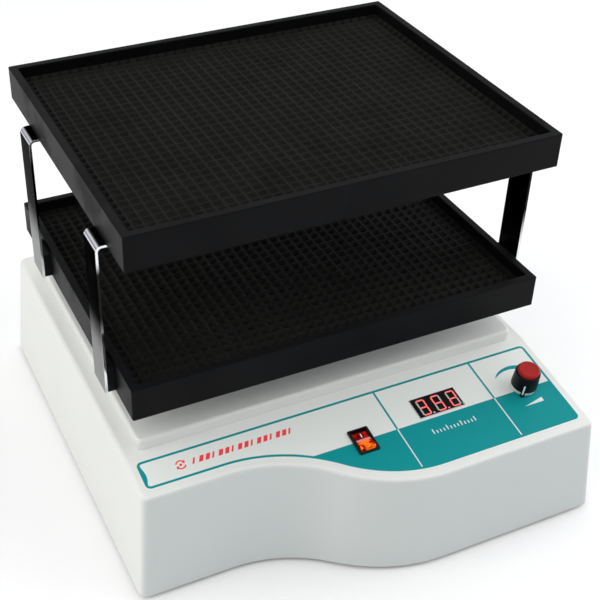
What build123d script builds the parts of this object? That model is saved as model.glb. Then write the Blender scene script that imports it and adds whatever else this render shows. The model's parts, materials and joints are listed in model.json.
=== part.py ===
"""Two-tier orbital shaker: a moulded housing, a belt-driven triple-eccentric
drive and two waffle-floored trays that circle without turning.

Millimetres.  X to the right, Y to the back, Z up.  The origin is the centre
of the housing's footprint, on the bench under the feet.
"""
from build123d import *
import os
from math import atan, cos, degrees, radians, sin, sqrt, tan

os.makedirs("parts", exist_ok=True)

# ---------------------------------------------------------------- housing
FOOT_H = 4.0            # the feet hold the housing this far off the bench
BASE_W = 352.0          # width of the housing along its top edge
BASE_BACK = 188.0       # y of the back wall at the top edge
FRONT_LEFT = -132.0     # y of the set-back left part of the front, at the top
WAVE_DROP = 56.0        # the right part of the front stands this far forward
WAVE_X0 = -109.5        # x where the wave leaves the left part
WAVE_RUN = 155.0        # length of the wave along x
BASE_H = 99.0           # height of the moulding
DRAFT = 4.5             # all four walls lean outwards towards the bottom
WALL = 3.0              # moulding thickness
CORNER_R = 7.0          # vertical corners
RIDGE_R = 3.5           # soft top edges
PANEL_BREAK = -92.0     # y where the top starts to slope down to the front
PANEL_TILT = 9.1        # slope of the control panel, degrees
PLATEAU_W = 328.0       # raised step under the trays
PLATEAU_FRONT = -90.0
PLATEAU_BACK = 176.0
PLATEAU_H = 10.0
PLATEAU_R = 5.5

RIM_Z = FOOT_H + BASE_H
ROOF_Z = RIM_Z + PLATEAU_H
FLARE = BASE_H * tan(radians(DRAFT))    # how far the draft carries each wall out
WAVE_ANGLE = degrees(2 * atan(WAVE_DROP / WAVE_RUN))
WAVE_R = WAVE_RUN / (2 * sin(radians(WAVE_ANGLE)))
WAVE_X1 = WAVE_X0 + WAVE_RUN
FRONT_RIGHT = FRONT_LEFT - WAVE_DROP
PLATEAU_D = PLATEAU_BACK - PLATEAU_FRONT

# ------------------------------------------------------------- eccentrics
AXIS_Y = (PLATEAU_FRONT + PLATEAU_BACK) / 2     # drive axis, middle of the step
THROW = 10.0            # crank radius: the trays describe a 20 mm circle
IDLERS = [(-112.0, AXIS_Y - 62.0), (112.0, AXIS_Y - 62.0), (0.0, AXIS_Y + 92.0)]
RUNNING = 0.06          # radial clearance of a running fit
CHASSIS_Z = 90.0
CHASSIS_T = 4.0
CHASSIS_TOP = CHASSIS_Z + CHASSIS_T
HUB_TOP = ROOF_Z + 3.5
DISC_Z = HUB_TOP + 2.0
PIN_TOP = 143.5

# ------------------------------------------------------------------ trays
TRAY_W = 340.0
TRAY_D = 270.0
TRAY_H = 27.0
TRAY_R = 1.4            # outer vertical corners
TRAY_RIM = 6.5
TRAY_SKIRT = 4.0
TRAY_Y = AXIS_Y - THROW     # the cranks rest pointing to the front
LOWER_Z = 145.5         # underside of the lower tray
UPPER_Z = 273.5         # underside of the upper tray
SKIRT_H = 10.0          # hollow below the tray floor
FLOOR_Z = 14.0          # top of the tray floor above the tray's underside
MAT_H = 3.8
PLATE_T = 3.0

# --------------------------------------------------------------- brackets
BRACKET_W = 25.0
BRACKET_T = 2.0
SPACER_T = 6.0
SPACER_H = 21.0
FLANGE_L = 42.0
BEND_R = 5.0            # outside radius of the bracket's bend
BRACKET_ROWS = {"front": -54.0, "back": 103.0}
SIDES = {"left": -1, "right": 1}

# ------------------------------------------------------------ panel parts
# Places on the panel are (x, distance down the slope from the break line).
LABEL_X = 171.0
LABEL_TOP = 6.2
LABEL_MARGIN = 6.0      # between the label's lower edge and the front edge
LABEL_T = 0.3
LABEL_R = 6.5           # its four corners
SWITCH = (-2.4, -49.1)
SWITCH_W = 17.2
SWITCH_L = 22.7
DISPLAY = (69.8, -36.4)
DISPLAY_W = 40.8
DISPLAY_L = 19.4
KNOB = (143.6, -46.9)

PIECES = {}             # node name -> finished builder
SCREWS = {}             # node name -> sets of screws that share the node
PLAY = 0.1              # radial play of a screw in its hole

PANEL = Plane(
    origin=(0, PANEL_BREAK, RIM_Z),
    x_dir=(1, 0, 0),
    z_dir=(0, -sin(radians(PANEL_TILT)), cos(radians(PANEL_TILT))),
)


def panel_z(y):
    """Height of the panel surface at y."""
    return RIM_Z + (y - PANEL_BREAK) * tan(radians(PANEL_TILT))


def back_plane(x, z):
    """Plane on the leaning back wall at x and height z, facing backwards."""
    y = BASE_BACK + (RIM_Z - z) * tan(radians(DRAFT))
    lean = radians(DRAFT)
    return Plane(origin=(x, y, z), x_dir=(-1, 0, 0), z_dir=(0, cos(lean), sin(lean)))


def at(x, y, z):
    """Horizontal plane through a point."""
    return Plane(origin=(x, y, z))


def housing_plan(grow):
    """Face of the housing's plan at the top edge, grown by a distance."""
    side = BASE_W / 2 + grow
    with BuildSketch() as plan:
        with BuildLine():
            hollow = CenterArc((WAVE_X0, FRONT_LEFT - WAVE_R), WAVE_R - grow, 90, -WAVE_ANGLE)
            crown = CenterArc((WAVE_X1, FRONT_RIGHT + WAVE_R), WAVE_R + grow, 270 - WAVE_ANGLE, WAVE_ANGLE)
            Polyline(
                hollow @ 0,
                (-side, FRONT_LEFT - grow),
                (-side, BASE_BACK + grow),
                (side, BASE_BACK + grow),
                (side, FRONT_RIGHT - grow),
                crown @ 1,
            )
        make_face()
    return plan.sketch


def corner_edges(part, inset):
    """The four long leaning corner edges of a housing-shaped block."""
    limit = BASE_W / 2 - inset
    return [e for e in part.edges() if abs(e.center().X) > limit and e.bounding_box().size.Z > BASE_H / 2]


def cap_screws(plane, places, radius, length, head_r=None, head_h=None):
    """Screws with hexagon sockets: heads stand on the plane, shanks go down."""
    head_r = head_r or 1.7 * radius
    head_h = head_h or 1.3 * radius
    with BuildPart() as screws:
        with BuildSketch(plane):
            with Locations(*places):
                Circle(radius)
        extrude(amount=-length)
        with BuildSketch(plane):
            with Locations(*places):
                Circle(head_r)
        extrude(amount=head_h)
        with BuildSketch(plane.offset(head_h)):
            with Locations(*places):
                RegularPolygon(head_r * 0.5, 6)
        extrude(amount=-head_h * 0.55, mode=Mode.SUBTRACT)
    return screws


def grouped(parts):
    """Several separate parts in one builder."""
    with BuildPart() as group:
        for part in parts:
            add(part)
    return group


def fasten(node, plane, places, radius, length, through, head_r=None, head_h=None):
    """Add screws to a node and bore the named pieces for them."""
    SCREWS.setdefault(node, []).append(cap_screws(plane, places, radius, length, head_r, head_h).part)
    for name in through:
        with BuildPart() as bored:
            add(PIECES[name].part)
            with BuildSketch(plane):
                with Locations(*places):
                    Circle(radius + PLAY)
            extrude(amount=-length - PLAY, mode=Mode.SUBTRACT)
        PIECES[name] = bored


def nuts(plane, places, across, height, hole_r):
    """Hexagon nuts standing on the plane."""
    with BuildPart() as hexes:
        with BuildSketch(plane):
            with Locations(*places):
                RegularPolygon(across / 2, 6, major_radius=False)
                Circle(hole_r, mode=Mode.SUBTRACT)
        extrude(amount=height)
    return hexes


def tubes(plane, places, outer, inner, height):
    """Plain rings or bushes standing on the plane."""
    with BuildPart() as rings:
        with BuildSketch(plane):
            with Locations(*places):
                Circle(outer)
                Circle(inner, mode=Mode.SUBTRACT)
        extrude(amount=height)
    return rings


def bearings(planes, bore_r, outer_r, width):
    """Sealed ball bearings, each one solid with its seals set in 0.5 mm."""
    land = (outer_r - bore_r) * 0.22
    with BuildPart() as race:
        for plane in planes:
            with BuildSketch(plane):
                Circle(outer_r)
                Circle(bore_r, mode=Mode.SUBTRACT)
            extrude(amount=width)
            for face, way in ((plane, 1), (plane.offset(width), -1)):
                with BuildSketch(face):
                    Circle(outer_r - land)
                    Circle(bore_r + land, mode=Mode.SUBTRACT)
                extrude(amount=0.5 * way, mode=Mode.SUBTRACT)
    return race


def around(centre, radius, count, start=45):
    """Points evenly spaced on a circle."""
    step = 360 / count
    angles = [radians(start + step * i) for i in range(count)]
    return [(centre[0] + radius * cos(a), centre[1] + radius * sin(a)) for a in angles]


# ================================================================ housing
DRIVE_XY = (0.0, AXIS_Y)
DRIVE_HUB_R = 20.0
IDLER_HUB_R = 15.5
SEAL_GAP = 2.5          # between a hub and the hole it stands in
COVER_Z = FOOT_H + 4.0  # top of the base plate, where the bosses end
BOSS_R = 5.0
BOSSES = [(-162, 172), (0, 180), (162, 172), (-162, -118), (162, -172), (62, -176)]
INLET = back_plane(-110, 48)
INLET_W = 28.0
INLET_H = 27.0

with BuildPart() as cavity:
    with BuildSketch(Plane.XY.offset(FOOT_H)):
        add(housing_plan(FLARE - WALL))
    extrude(amount=BASE_H - WALL, taper=DRAFT)
    split(bisect_by=PANEL.offset(-WALL), keep=Keep.BOTTOM)
    fillet(corner_edges(cavity.part, WALL + 2), CORNER_R - WALL)
    with BuildSketch(Plane.XY.offset(RIM_Z - 2 * WALL)):
        with Locations(DRIVE_XY):
            RectangleRounded(PLATEAU_W - 2 * WALL, PLATEAU_D - 2 * WALL, PLATEAU_R - WALL)
    extrude(amount=PLATEAU_H + WALL)

with BuildPart() as housing_shell:
    with BuildSketch(Plane.XY.offset(FOOT_H)):
        add(housing_plan(FLARE))
    extrude(amount=BASE_H, taper=DRAFT)
    split(bisect_by=PANEL, keep=Keep.BOTTOM)
    fillet(corner_edges(housing_shell.part, 2), CORNER_R)
    break_line = [
        e for e in housing_shell.edges()
        if abs(e.center().Y - PANEL_BREAK) < 0.5 and e.length > BASE_W / 2
    ]
    fillet(break_line, 20)
    ridge = [
        e for e in housing_shell.edges()
        if min(v.Z for v in e.vertices()) > panel_z(FRONT_RIGHT) - 3
        and not (abs((e % 0.5).X) > 0.99 and abs(e.center().Y - PANEL_BREAK) < 8)
    ]
    fillet(ridge, RIDGE_R)
    with BuildSketch(Plane.XY.offset(RIM_Z - WALL)):
        with Locations(DRIVE_XY):
            RectangleRounded(PLATEAU_W, PLATEAU_D, PLATEAU_R)
    extrude(amount=PLATEAU_H + WALL)
    fillet(housing_shell.faces().sort_by(Axis.Z)[-1].edges(), 2.5)
    add(cavity.part, mode=Mode.SUBTRACT)
    # screw bosses, from the roof down to the base plate
    for boss in BOSSES:
        roof = min(RIM_Z, panel_z(boss[1])) - WALL / 2
        with BuildSketch(Plane.XY.offset(COVER_Z)):
            with Locations(boss):
                Circle(BOSS_R)
        extrude(amount=roof - COVER_Z)
    with BuildSketch(Plane.XY.offset(COVER_Z)):
        with Locations(*BOSSES):
            Circle(1.6)
    extrude(amount=14, mode=Mode.SUBTRACT)
    # openings: hubs in the roof, controls in the panel, inlet in the back
    with BuildSketch(Plane.XY.offset(ROOF_Z + 1)):
        with Locations(DRIVE_XY):
            Circle(DRIVE_HUB_R + SEAL_GAP)
        with Locations(*IDLERS):
            Circle(IDLER_HUB_R + SEAL_GAP)
    extrude(amount=-3 * WALL, mode=Mode.SUBTRACT)
    with BuildSketch(PANEL.offset(1)):
        with Locations(SWITCH):
            Rectangle(SWITCH_W - 1.6, SWITCH_L - 1.4)
        with Locations(DISPLAY):
            Rectangle(DISPLAY_W + 0.6, DISPLAY_L + 0.6)
        with Locations(KNOB):
            Circle(3.8)
    extrude(amount=-3 * WALL, mode=Mode.SUBTRACT)
    with BuildSketch(INLET.offset(2)):
        Rectangle(INLET_W + 0.6, INLET_H + 0.6)
    extrude(amount=-3 * WALL, mode=Mode.SUBTRACT)
PIECES["housing_shell"] = housing_shell

FEET = [(-140, 150), (140, 150), (-140, -100), (140, -150)]
PILLARS = [(-125, 15), (125, 15), (-125, 140), (125, 140)]
PLATE_BOTTOM = COVER_Z - 2.0

with BuildPart() as base_plate:
    with BuildSketch(Plane.XY.offset(PLATE_BOTTOM)):
        add(housing_plan(FLARE - WALL - 0.8))
        with Locations((20, 100), (20, -60)):
            with GridLocations(14, 1, 6, 1):
                SlotOverall(36, 4, rotation=90, mode=Mode.SUBTRACT)
    extrude(amount=COVER_Z - PLATE_BOTTOM)
    fillet([e for e in base_plate.edges().filter_by(Axis.Z) if abs(e.center().X) > BASE_W / 2], CORNER_R)
PIECES["base_plate"] = base_plate

with BuildPart() as rubber_feet:
    with BuildSketch():
        with Locations(*FEET):
            Circle(10)
    extrude(amount=PLATE_BOTTOM, taper=-8)
    with BuildSketch():
        with Locations(*FEET):
            Circle(5)
    extrude(amount=3, mode=Mode.SUBTRACT)
    with BuildSketch():
        with Locations(*FEET):
            Circle(2.1)
    extrude(amount=PLATE_BOTTOM, mode=Mode.SUBTRACT)
PIECES["rubber_feet"] = rubber_feet
UNDER = Plane(origin=(0, 0, 0), x_dir=(1, 0, 0), z_dir=(0, 0, -1))


def flipped(places):
    """The same points as seen from below."""
    return [(x, -y) for x, y in places]


M4 = 1.9
M3 = 1.5
fasten("chassis_screws", UNDER.offset(-3), flipped(FEET), M4, 9.5, ["base_plate"])
PIECES["foot_nuts"] = nuts(Plane.XY.offset(COVER_Z), FEET, 7, 3.2, M4)
fasten("cover_screws", UNDER.offset(-PLATE_BOTTOM), flipped(BOSSES), M3, 12, ["base_plate"], 2.8, 1.7)

# ========================================================= chassis and hubs
with BuildPart() as chassis_plate:
    with BuildSketch(Plane.XY.offset(CHASSIS_Z)):
        with Locations((0, 56)):
            RectangleRounded(290, 204, 8)
        with Locations(DRIVE_XY):
            Circle(12, mode=Mode.SUBTRACT)
        with Locations(*IDLERS):
            Circle(9, mode=Mode.SUBTRACT)
        with Locations((-62, 118), (62, 118)):
            RectangleRounded(60, 40, 6, mode=Mode.SUBTRACT)
    extrude(amount=CHASSIS_T)
PIECES["chassis_plate"] = chassis_plate
PIECES["chassis_pillars"] = tubes(Plane.XY.offset(COVER_Z), PILLARS, 6.5, 2.0, CHASSIS_Z - COVER_Z)
fasten("chassis_screws", Plane.XY.offset(CHASSIS_TOP), PILLARS, M4, 16, ["chassis_plate"])
fasten("chassis_screws", UNDER.offset(-PLATE_BOTTOM), flipped(PILLARS), M4, 14, ["base_plate"], 3.2, 1.8)


def hub(centre, barrel_r, flange_r, seat_r, seat_h, neck_r):
    """Flanged bearing hub with a bearing seat at each end of its bore."""
    with BuildPart() as body:
        with BuildSketch(Plane.XY.offset(CHASSIS_TOP)):
            with Locations(centre):
                Circle(flange_r)
        extrude(amount=4.5)
        with BuildSketch(Plane.XY.offset(CHASSIS_TOP)):
            with Locations(centre):
                Circle(barrel_r)
        extrude(amount=HUB_TOP - CHASSIS_TOP)
        with BuildSketch(Plane.XY.offset(CHASSIS_TOP)):
            with Locations(centre):
                Circle(neck_r)
        extrude(amount=HUB_TOP - CHASSIS_TOP, mode=Mode.SUBTRACT)
        for seat_z in (CHASSIS_TOP, HUB_TOP - seat_h - 1):
            with BuildSketch(Plane.XY.offset(seat_z)):
                with Locations(centre):
                    Circle(seat_r)
            extrude(amount=seat_h + (1 if seat_z > CHASSIS_TOP else 0), mode=Mode.SUBTRACT)
    return body


DRIVE_SHAFT_R = 6.0
DRIVE_SEAT = (14.0, 8.0)        # radius and width of the drive shaft's bearings
IDLER_SHAFT_R = 4.0
IDLER_SEAT = (11.0, 7.0)
drive_hub = hub(DRIVE_XY, DRIVE_HUB_R, 31, *DRIVE_SEAT, 10)
idler_hubs = [hub(spot, IDLER_HUB_R, 24, *IDLER_SEAT, 7) for spot in IDLERS]
PIECES["bearing_hubs"] = grouped([drive_hub.part] + [body.part for body in idler_hubs])
hub_bolts = around(DRIVE_XY, 25.5, 4)
for spot in IDLERS:
    hub_bolts += around(spot, 19.8, 4)
fasten(
    "chassis_screws", Plane.XY.offset(CHASSIS_TOP + 4.5), hub_bolts, M4, 8.4,
    ["bearing_hubs", "chassis_plate"], 3.3, 2.4,
)
drive_bearings = bearings(
    [at(0, AXIS_Y, z) for z in (CHASSIS_TOP, HUB_TOP - 1 - DRIVE_SEAT[1])],
    DRIVE_SHAFT_R + RUNNING, *DRIVE_SEAT,
)
idler_bearings = bearings(
    [at(x, y, z) for x, y in IDLERS for z in (CHASSIS_TOP, HUB_TOP - 1 - IDLER_SEAT[1])],
    IDLER_SHAFT_R + RUNNING, *IDLER_SEAT,
)
PIECES["shaft_bearings"] = grouped([drive_bearings.part, idler_bearings.part])
with BuildPart() as hub_seals:
    for spots, barrel_r in (([DRIVE_XY], DRIVE_HUB_R), (IDLERS, IDLER_HUB_R)):
        for lip, z, height in ((SEAL_GAP - 0.1, ROOF_Z - WALL, WALL), (SEAL_GAP + 2, ROOF_Z, 1.2)):
            with BuildSketch(Plane.XY.offset(z)):
                with Locations(*spots):
                    Circle(barrel_r + lip)
                    Circle(barrel_r + 0.1, mode=Mode.SUBTRACT)
            extrude(amount=height)
PIECES["hub_seals"] = hub_seals

# ============================================================ drive train
PULLEY_Z = 74.0
PULLEY_H = 12.0
PULLEY_R = 50.0
MOTOR_PULLEY_R = 10.0
MOTOR_XY = (-88.0, AXIS_Y)
MOTOR_TOP = 62.0
BELT_GAP = 0.3
DISC_H = 8.0
DISC_TOP = DISC_Z + DISC_H
PIN_Y = -THROW


def pulley(centre, radius, bore_r):
    """Flanged flat-belt pulley."""
    with BuildPart() as wheel:
        for z, height, r in (
            (PULLEY_Z, PULLEY_H, radius),
            (PULLEY_Z, 1.4, radius + 3),
            (PULLEY_Z + PULLEY_H - 1.4, 1.4, radius + 3),
        ):
            with BuildSketch(Plane.XY.offset(z)):
                with Locations(centre):
                    Circle(r)
            extrude(amount=height)
        with BuildSketch(Plane.XY.offset(PULLEY_Z)):
            with Locations(centre):
                Circle(bore_r)
        extrude(amount=PULLEY_H, mode=Mode.SUBTRACT)
    return wheel


with BuildPart() as drive_shaft:
    with BuildSketch(Plane.XY.offset(PULLEY_Z - 3)):
        with Locations(DRIVE_XY):
            Circle(DRIVE_SHAFT_R)
    extrude(amount=DISC_Z + 5 - (PULLEY_Z - 3))
    chamfer(drive_shaft.edges().filter_by(GeomType.CIRCLE), 0.6)
PIECES["drive_shaft"] = drive_shaft

with BuildPart() as driven_pulley:
    add(pulley(DRIVE_XY, PULLEY_R, DRIVE_SHAFT_R).part)
    with BuildSketch(Plane.XY.offset(PULLEY_Z)):
        with Locations(DRIVE_XY):
            with PolarLocations(29, 6):
                Circle(9)
    extrude(amount=PULLEY_H, mode=Mode.SUBTRACT)
PIECES["driven_pulley"] = driven_pulley

with BuildPart() as drive_crank:
    with BuildSketch(Plane.XY.offset(DISC_Z)):
        with Locations(DRIVE_XY):
            Circle(28)
    extrude(amount=DISC_H)
    chamfer(drive_crank.edges().filter_by(GeomType.CIRCLE), 0.8)
    with BuildSketch(Plane.XY.offset(DISC_Z)):
        with Locations(DRIVE_XY):
            Circle(DRIVE_SHAFT_R)
    extrude(amount=5, mode=Mode.SUBTRACT)
    with BuildSketch(Plane.XY.offset(DISC_TOP)):
        with Locations((0, AXIS_Y + PIN_Y)):
            Circle(5)
    extrude(amount=PIN_TOP - DISC_TOP)
PIECES["drive_crank"] = drive_crank

WEIGHT_SPAN = 140.0
with BuildPart() as counterweight:
    with BuildSketch(at(0, AXIS_Y, DISC_TOP)):
        with BuildLine():
            outer = CenterArc((0, 0), 46, 90 - WEIGHT_SPAN / 2, WEIGHT_SPAN)
            inner = CenterArc((0, 0), 16, 90 - WEIGHT_SPAN / 2, WEIGHT_SPAN)
            Line(outer @ 0, inner @ 0)
            Line(outer @ 1, inner @ 1)
        make_face()
    extrude(amount=7)
PIECES["counterweight"] = counterweight
fasten(
    "weight_screws", Plane.XY.offset(DISC_TOP + 7), [(-11, AXIS_Y + 19), (11, AXIS_Y + 19)], M4, 12,
    ["counterweight", "drive_crank"],
)


def idler_crank(centre):
    """One-piece idler: journal, round web and crank pin."""
    with BuildPart() as crank:
        for r, z0, z1, y in (
            (IDLER_SHAFT_R, CHASSIS_Z + 1, DISC_Z, 0),
            (17, DISC_Z, DISC_Z + 6, 0),
            (IDLER_SHAFT_R, DISC_Z + 6, PIN_TOP, PIN_Y),
        ):
            with BuildSketch(Plane.XY.offset(z0)):
                with Locations((centre[0], centre[1] + y)):
                    Circle(r)
            extrude(amount=z1 - z0)
    return crank


IDLER_NAMES = ["idler_crank_left", "idler_crank_right", "idler_crank_back"]
for name, spot in zip(IDLER_NAMES, IDLERS):
    PIECES[name] = idler_crank(spot)

with BuildPart() as motor:
    with BuildSketch(Plane.XY.offset(14)):
        with Locations(MOTOR_XY):
            Circle(25)
    extrude(amount=MOTOR_TOP - 14)
    chamfer(motor.edges().filter_by(GeomType.CIRCLE), 1.5)
    with BuildSketch(Plane.XY.offset(MOTOR_TOP)):
        with Locations(MOTOR_XY):
            Circle(7)
    extrude(amount=4.5)
    with BuildSketch(Plane.XY.offset(MOTOR_TOP + 4.5)):
        with Locations(MOTOR_XY):
            Circle(3 + RUNNING)
    extrude(amount=-12, mode=Mode.SUBTRACT)
PIECES["motor"] = motor

with BuildPart() as motor_bracket:
    with BuildSketch(Plane.XY.offset(MOTOR_TOP)):
        with Locations(MOTOR_XY):
            Rectangle(66, 40)
            Circle(7.3, mode=Mode.SUBTRACT)
    extrude(amount=3)
    for side in (-1, 1):
        with BuildSketch(Plane.XY.offset(COVER_Z)):
            with Locations((MOTOR_XY[0] + side * 31.5, MOTOR_XY[1])):
                Rectangle(3, 40)
        extrude(amount=MOTOR_TOP + 3 - COVER_Z)
        with BuildSketch(Plane.XY.offset(COVER_Z)):
            with Locations((MOTOR_XY[0] + side * 38, MOTOR_XY[1])):
                Rectangle(14, 40)
        extrude(amount=3)
PIECES["motor_bracket"] = motor_bracket
fasten(
    "cover_screws", Plane.XY.offset(MOTOR_TOP + 3), around(MOTOR_XY, 15, 2), M3, 8,
    ["motor_bracket", "motor"],
)
bracket_feet = [(MOTOR_XY[0] + sx * 40, MOTOR_XY[1] + sy * 12) for sx in (-1, 1) for sy in (-1, 1)]
fasten(
    "chassis_screws", Plane.XY.offset(COVER_Z + 3), bracket_feet, M4, 4.5,
    ["motor_bracket", "base_plate"],
)

with BuildPart() as motor_pulley:
    add(pulley(MOTOR_XY, MOTOR_PULLEY_R, 3).part)
PIECES["motor_pulley"] = motor_pulley
with BuildPart() as motor_shaft:
    with BuildSketch(Plane.XY.offset(MOTOR_TOP - 6)):
        with Locations(MOTOR_XY):
            Circle(3)
    extrude(amount=PULLEY_Z + PULLEY_H - MOTOR_TOP + 7)
PIECES["motor_shaft"] = motor_shaft


def belt_loop(grow):
    """Face bounded by the belt line grown outwards from the pulleys."""
    span = MOTOR_XY[0]
    big = PULLEY_R + grow
    small = MOTOR_PULLEY_R + grow
    lean = (big - small) / abs(span)
    rise = sqrt(1 - lean * lean)
    with BuildSketch() as loop:
        with Locations((0, 0)):
            Circle(big)
        with Locations((span, 0)):
            Circle(small)
        with BuildLine():
            Polyline(
                (-big * lean, big * rise), (span - small * lean, small * rise),
                (span - small * lean, -small * rise), (-big * lean, -big * rise), close=True,
            )
        make_face()
    return loop.sketch


with BuildPart() as drive_belt:
    with BuildSketch(at(0, AXIS_Y, PULLEY_Z + 2.2)):
        add(belt_loop(BELT_GAP + 1.6))
        add(belt_loop(BELT_GAP), mode=Mode.SUBTRACT)
    extrude(amount=PULLEY_H - 4.4)
PIECES["drive_belt"] = drive_belt

# ================================================================= trays
SEAT_TOP = LOWER_Z
PLATE_PLAN = (TRAY_W - 2 * TRAY_SKIRT - 0.8, TRAY_D - 2 * TRAY_SKIRT - 0.8)
RIB_X = [-116.0, -58.0, 0.0, 58.0, 116.0]
RIB_Y = [-66.0, 0.0, 94.0]
TRAY_BOSSES = [(x, y) for x in (-136, 136) for y in (-110, 110)] + [(-30, -110), (30, 110)]


def seat(centre, barrel_r, flange_r, seat_r, eye_r):
    """Bearing seat hung under the carrier plate."""
    bottom = SEAT_TOP - 13
    with BuildPart() as cup:
        for r, z0, z1 in ((flange_r, SEAT_TOP - 3, SEAT_TOP), (barrel_r, bottom, SEAT_TOP)):
            with BuildSketch(at(*centre, z0)):
                Circle(r)
            extrude(amount=z1 - z0)
        with BuildSketch(at(*centre, bottom + 2)):
            Circle(seat_r)
        extrude(amount=13, mode=Mode.SUBTRACT)
        with BuildSketch(at(*centre, bottom)):
            Circle(eye_r)
        extrude(amount=4, mode=Mode.SUBTRACT)
    return cup


def crank_pin(centre):
    """Where an eccentric's pin stands at rest."""
    return (centre[0], centre[1] + PIN_Y)


SEAT_Z = SEAT_TOP - 11
drive_seat = seat(crank_pin(DRIVE_XY), 18, 27, 13, 9)
idler_seats = [seat(crank_pin(spot), 14.5, 23, 11, 7.5) for spot in IDLERS]
PIECES["pin_bearing_seats"] = grouped([drive_seat.part] + [cup.part for cup in idler_seats])
drive_pin_bearing = bearings([at(*crank_pin(DRIVE_XY), SEAT_Z)], 5 + RUNNING, 13, 8)
idler_pin_bearings = bearings(
    [at(*crank_pin(spot), SEAT_Z) for spot in IDLERS], IDLER_SHAFT_R + RUNNING, 11, 7,
)
PIECES["pin_bearings"] = grouped([drive_pin_bearing.part, idler_pin_bearings.part])
seat_bolts = around(crank_pin(DRIVE_XY), 22.5, 4)
for spot in IDLERS:
    seat_bolts += around(crank_pin(spot), 18.8, 4)


def tray_plate(z, thickness):
    """Steel plate let into the hollow under a tray."""
    with BuildPart() as plate:
        with BuildSketch(at(0, TRAY_Y, z)):
            RectangleRounded(*PLATE_PLAN, 3)
        extrude(amount=thickness)
    return plate


def tray(z):
    """Tray moulding: rim above the floor, ribbed skirt below it."""
    with BuildPart() as pan:
        with BuildSketch(at(0, TRAY_Y, z)):
            RectangleRounded(TRAY_W, TRAY_D, TRAY_R)
        extrude(amount=TRAY_H)
        with BuildSketch(at(0, TRAY_Y, z + FLOOR_Z)):
            RectangleRounded(TRAY_W - 2 * TRAY_RIM, TRAY_D - 2 * TRAY_RIM, 1.2)
        extrude(amount=TRAY_H, mode=Mode.SUBTRACT)
        fillet(pan.faces().sort_by(Axis.Z)[-1].edges(), 0.9)
        with BuildSketch(at(0, TRAY_Y, z)):
            RectangleRounded(TRAY_W - 2 * TRAY_SKIRT, TRAY_D - 2 * TRAY_SKIRT, 3.4)
        extrude(amount=SKIRT_H, mode=Mode.SUBTRACT)
        with BuildSketch(at(0, TRAY_Y, z + PLATE_T)):
            for x in RIB_X:
                with Locations((x, 0)):
                    Rectangle(2.4, TRAY_D - 2 * TRAY_SKIRT)
            for y in RIB_Y:
                with Locations((0, y)):
                    Rectangle(TRAY_W - 2 * TRAY_SKIRT, 2.4)
            with Locations(*TRAY_BOSSES):
                Circle(5)
        extrude(amount=SKIRT_H - PLATE_T + 0.5)
    return pan


def mat(z):
    """Rubber mat lying in a tray."""
    with BuildPart() as slab:
        with BuildSketch(at(0, TRAY_Y, z + FLOOR_Z)):
            RectangleRounded(TRAY_W - 2 * TRAY_RIM - 0.4, TRAY_D - 2 * TRAY_RIM - 0.4, 1.0)
        extrude(amount=MAT_H)
    return slab


PIECES["carrier_plate"] = tray_plate(LOWER_Z, PLATE_T)
PIECES["lower_tray"] = tray(LOWER_Z)
PIECES["lower_mat"] = mat(LOWER_Z)
PIECES["support_plate"] = tray_plate(UPPER_Z, PLATE_T)
PIECES["upper_tray"] = tray(UPPER_Z)
PIECES["upper_mat"] = mat(UPPER_Z)
tray_spots = [(x, y + TRAY_Y) for x, y in TRAY_BOSSES]
fasten(
    "platform_screws", UNDER.offset(-(SEAT_TOP - 3)), flipped(seat_bolts), M4, 5.8,
    ["pin_bearing_seats", "carrier_plate"], 3.3, 2.4,
)
for tray_z, held in (
    (LOWER_Z, ["carrier_plate", "lower_tray"]), (UPPER_Z, ["support_plate", "upper_tray"]),
):
    fasten("platform_screws", UNDER.offset(-tray_z), flipped(tray_spots), M3, 9, held, 3.0, 1.8)

# ============================================================== brackets
LEG_X = TRAY_W / 2 + SPACER_T       # inner face of a bracket's leg
SIDE_SCREW_Z = 6.5                  # height above the lower tray's underside


def bracket(side, y):
    """Flat bar bent over at the top: a leg beside both trays, a flange under the upper one."""
    tip = LEG_X + BRACKET_T - FLANGE_L
    bends = []
    with BuildPart() as bar:
        with BuildSketch(Plane(origin=(0, y + BRACKET_W / 2, 0), x_dir=(1, 0, 0), z_dir=(0, -1, 0))):
            with BuildLine():
                for x, top, radius in (
                    (LEG_X + BRACKET_T, UPPER_Z, BEND_R),
                    (LEG_X, UPPER_Z - BRACKET_T, BEND_R - BRACKET_T),
                ):
                    corner = ((side * x, LOWER_Z), (side * x, top), (side * tip, top))
                    bends.append(FilletPolyline(*corner, radius=radius))
                Line(bends[0] @ 0, bends[1] @ 0)
                Line(bends[0] @ 1, bends[1] @ 1)
            make_face()
        extrude(amount=BRACKET_W)
    return bar


for row, bracket_y in BRACKET_ROWS.items():
    for side_name, side in SIDES.items():
        PIECES[f"bracket_{row}_{side_name}"] = bracket(side, bracket_y)

with BuildPart() as bracket_spacers:
    for bracket_y in BRACKET_ROWS.values():
        for side in SIDES.values():
            with BuildSketch(at(side * (LEG_X - SPACER_T / 2), bracket_y, LOWER_Z + 0.6)):
                Rectangle(SPACER_T, BRACKET_W - 1)
            extrude(amount=SPACER_H)
PIECES["bracket_spacers"] = bracket_spacers

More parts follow.
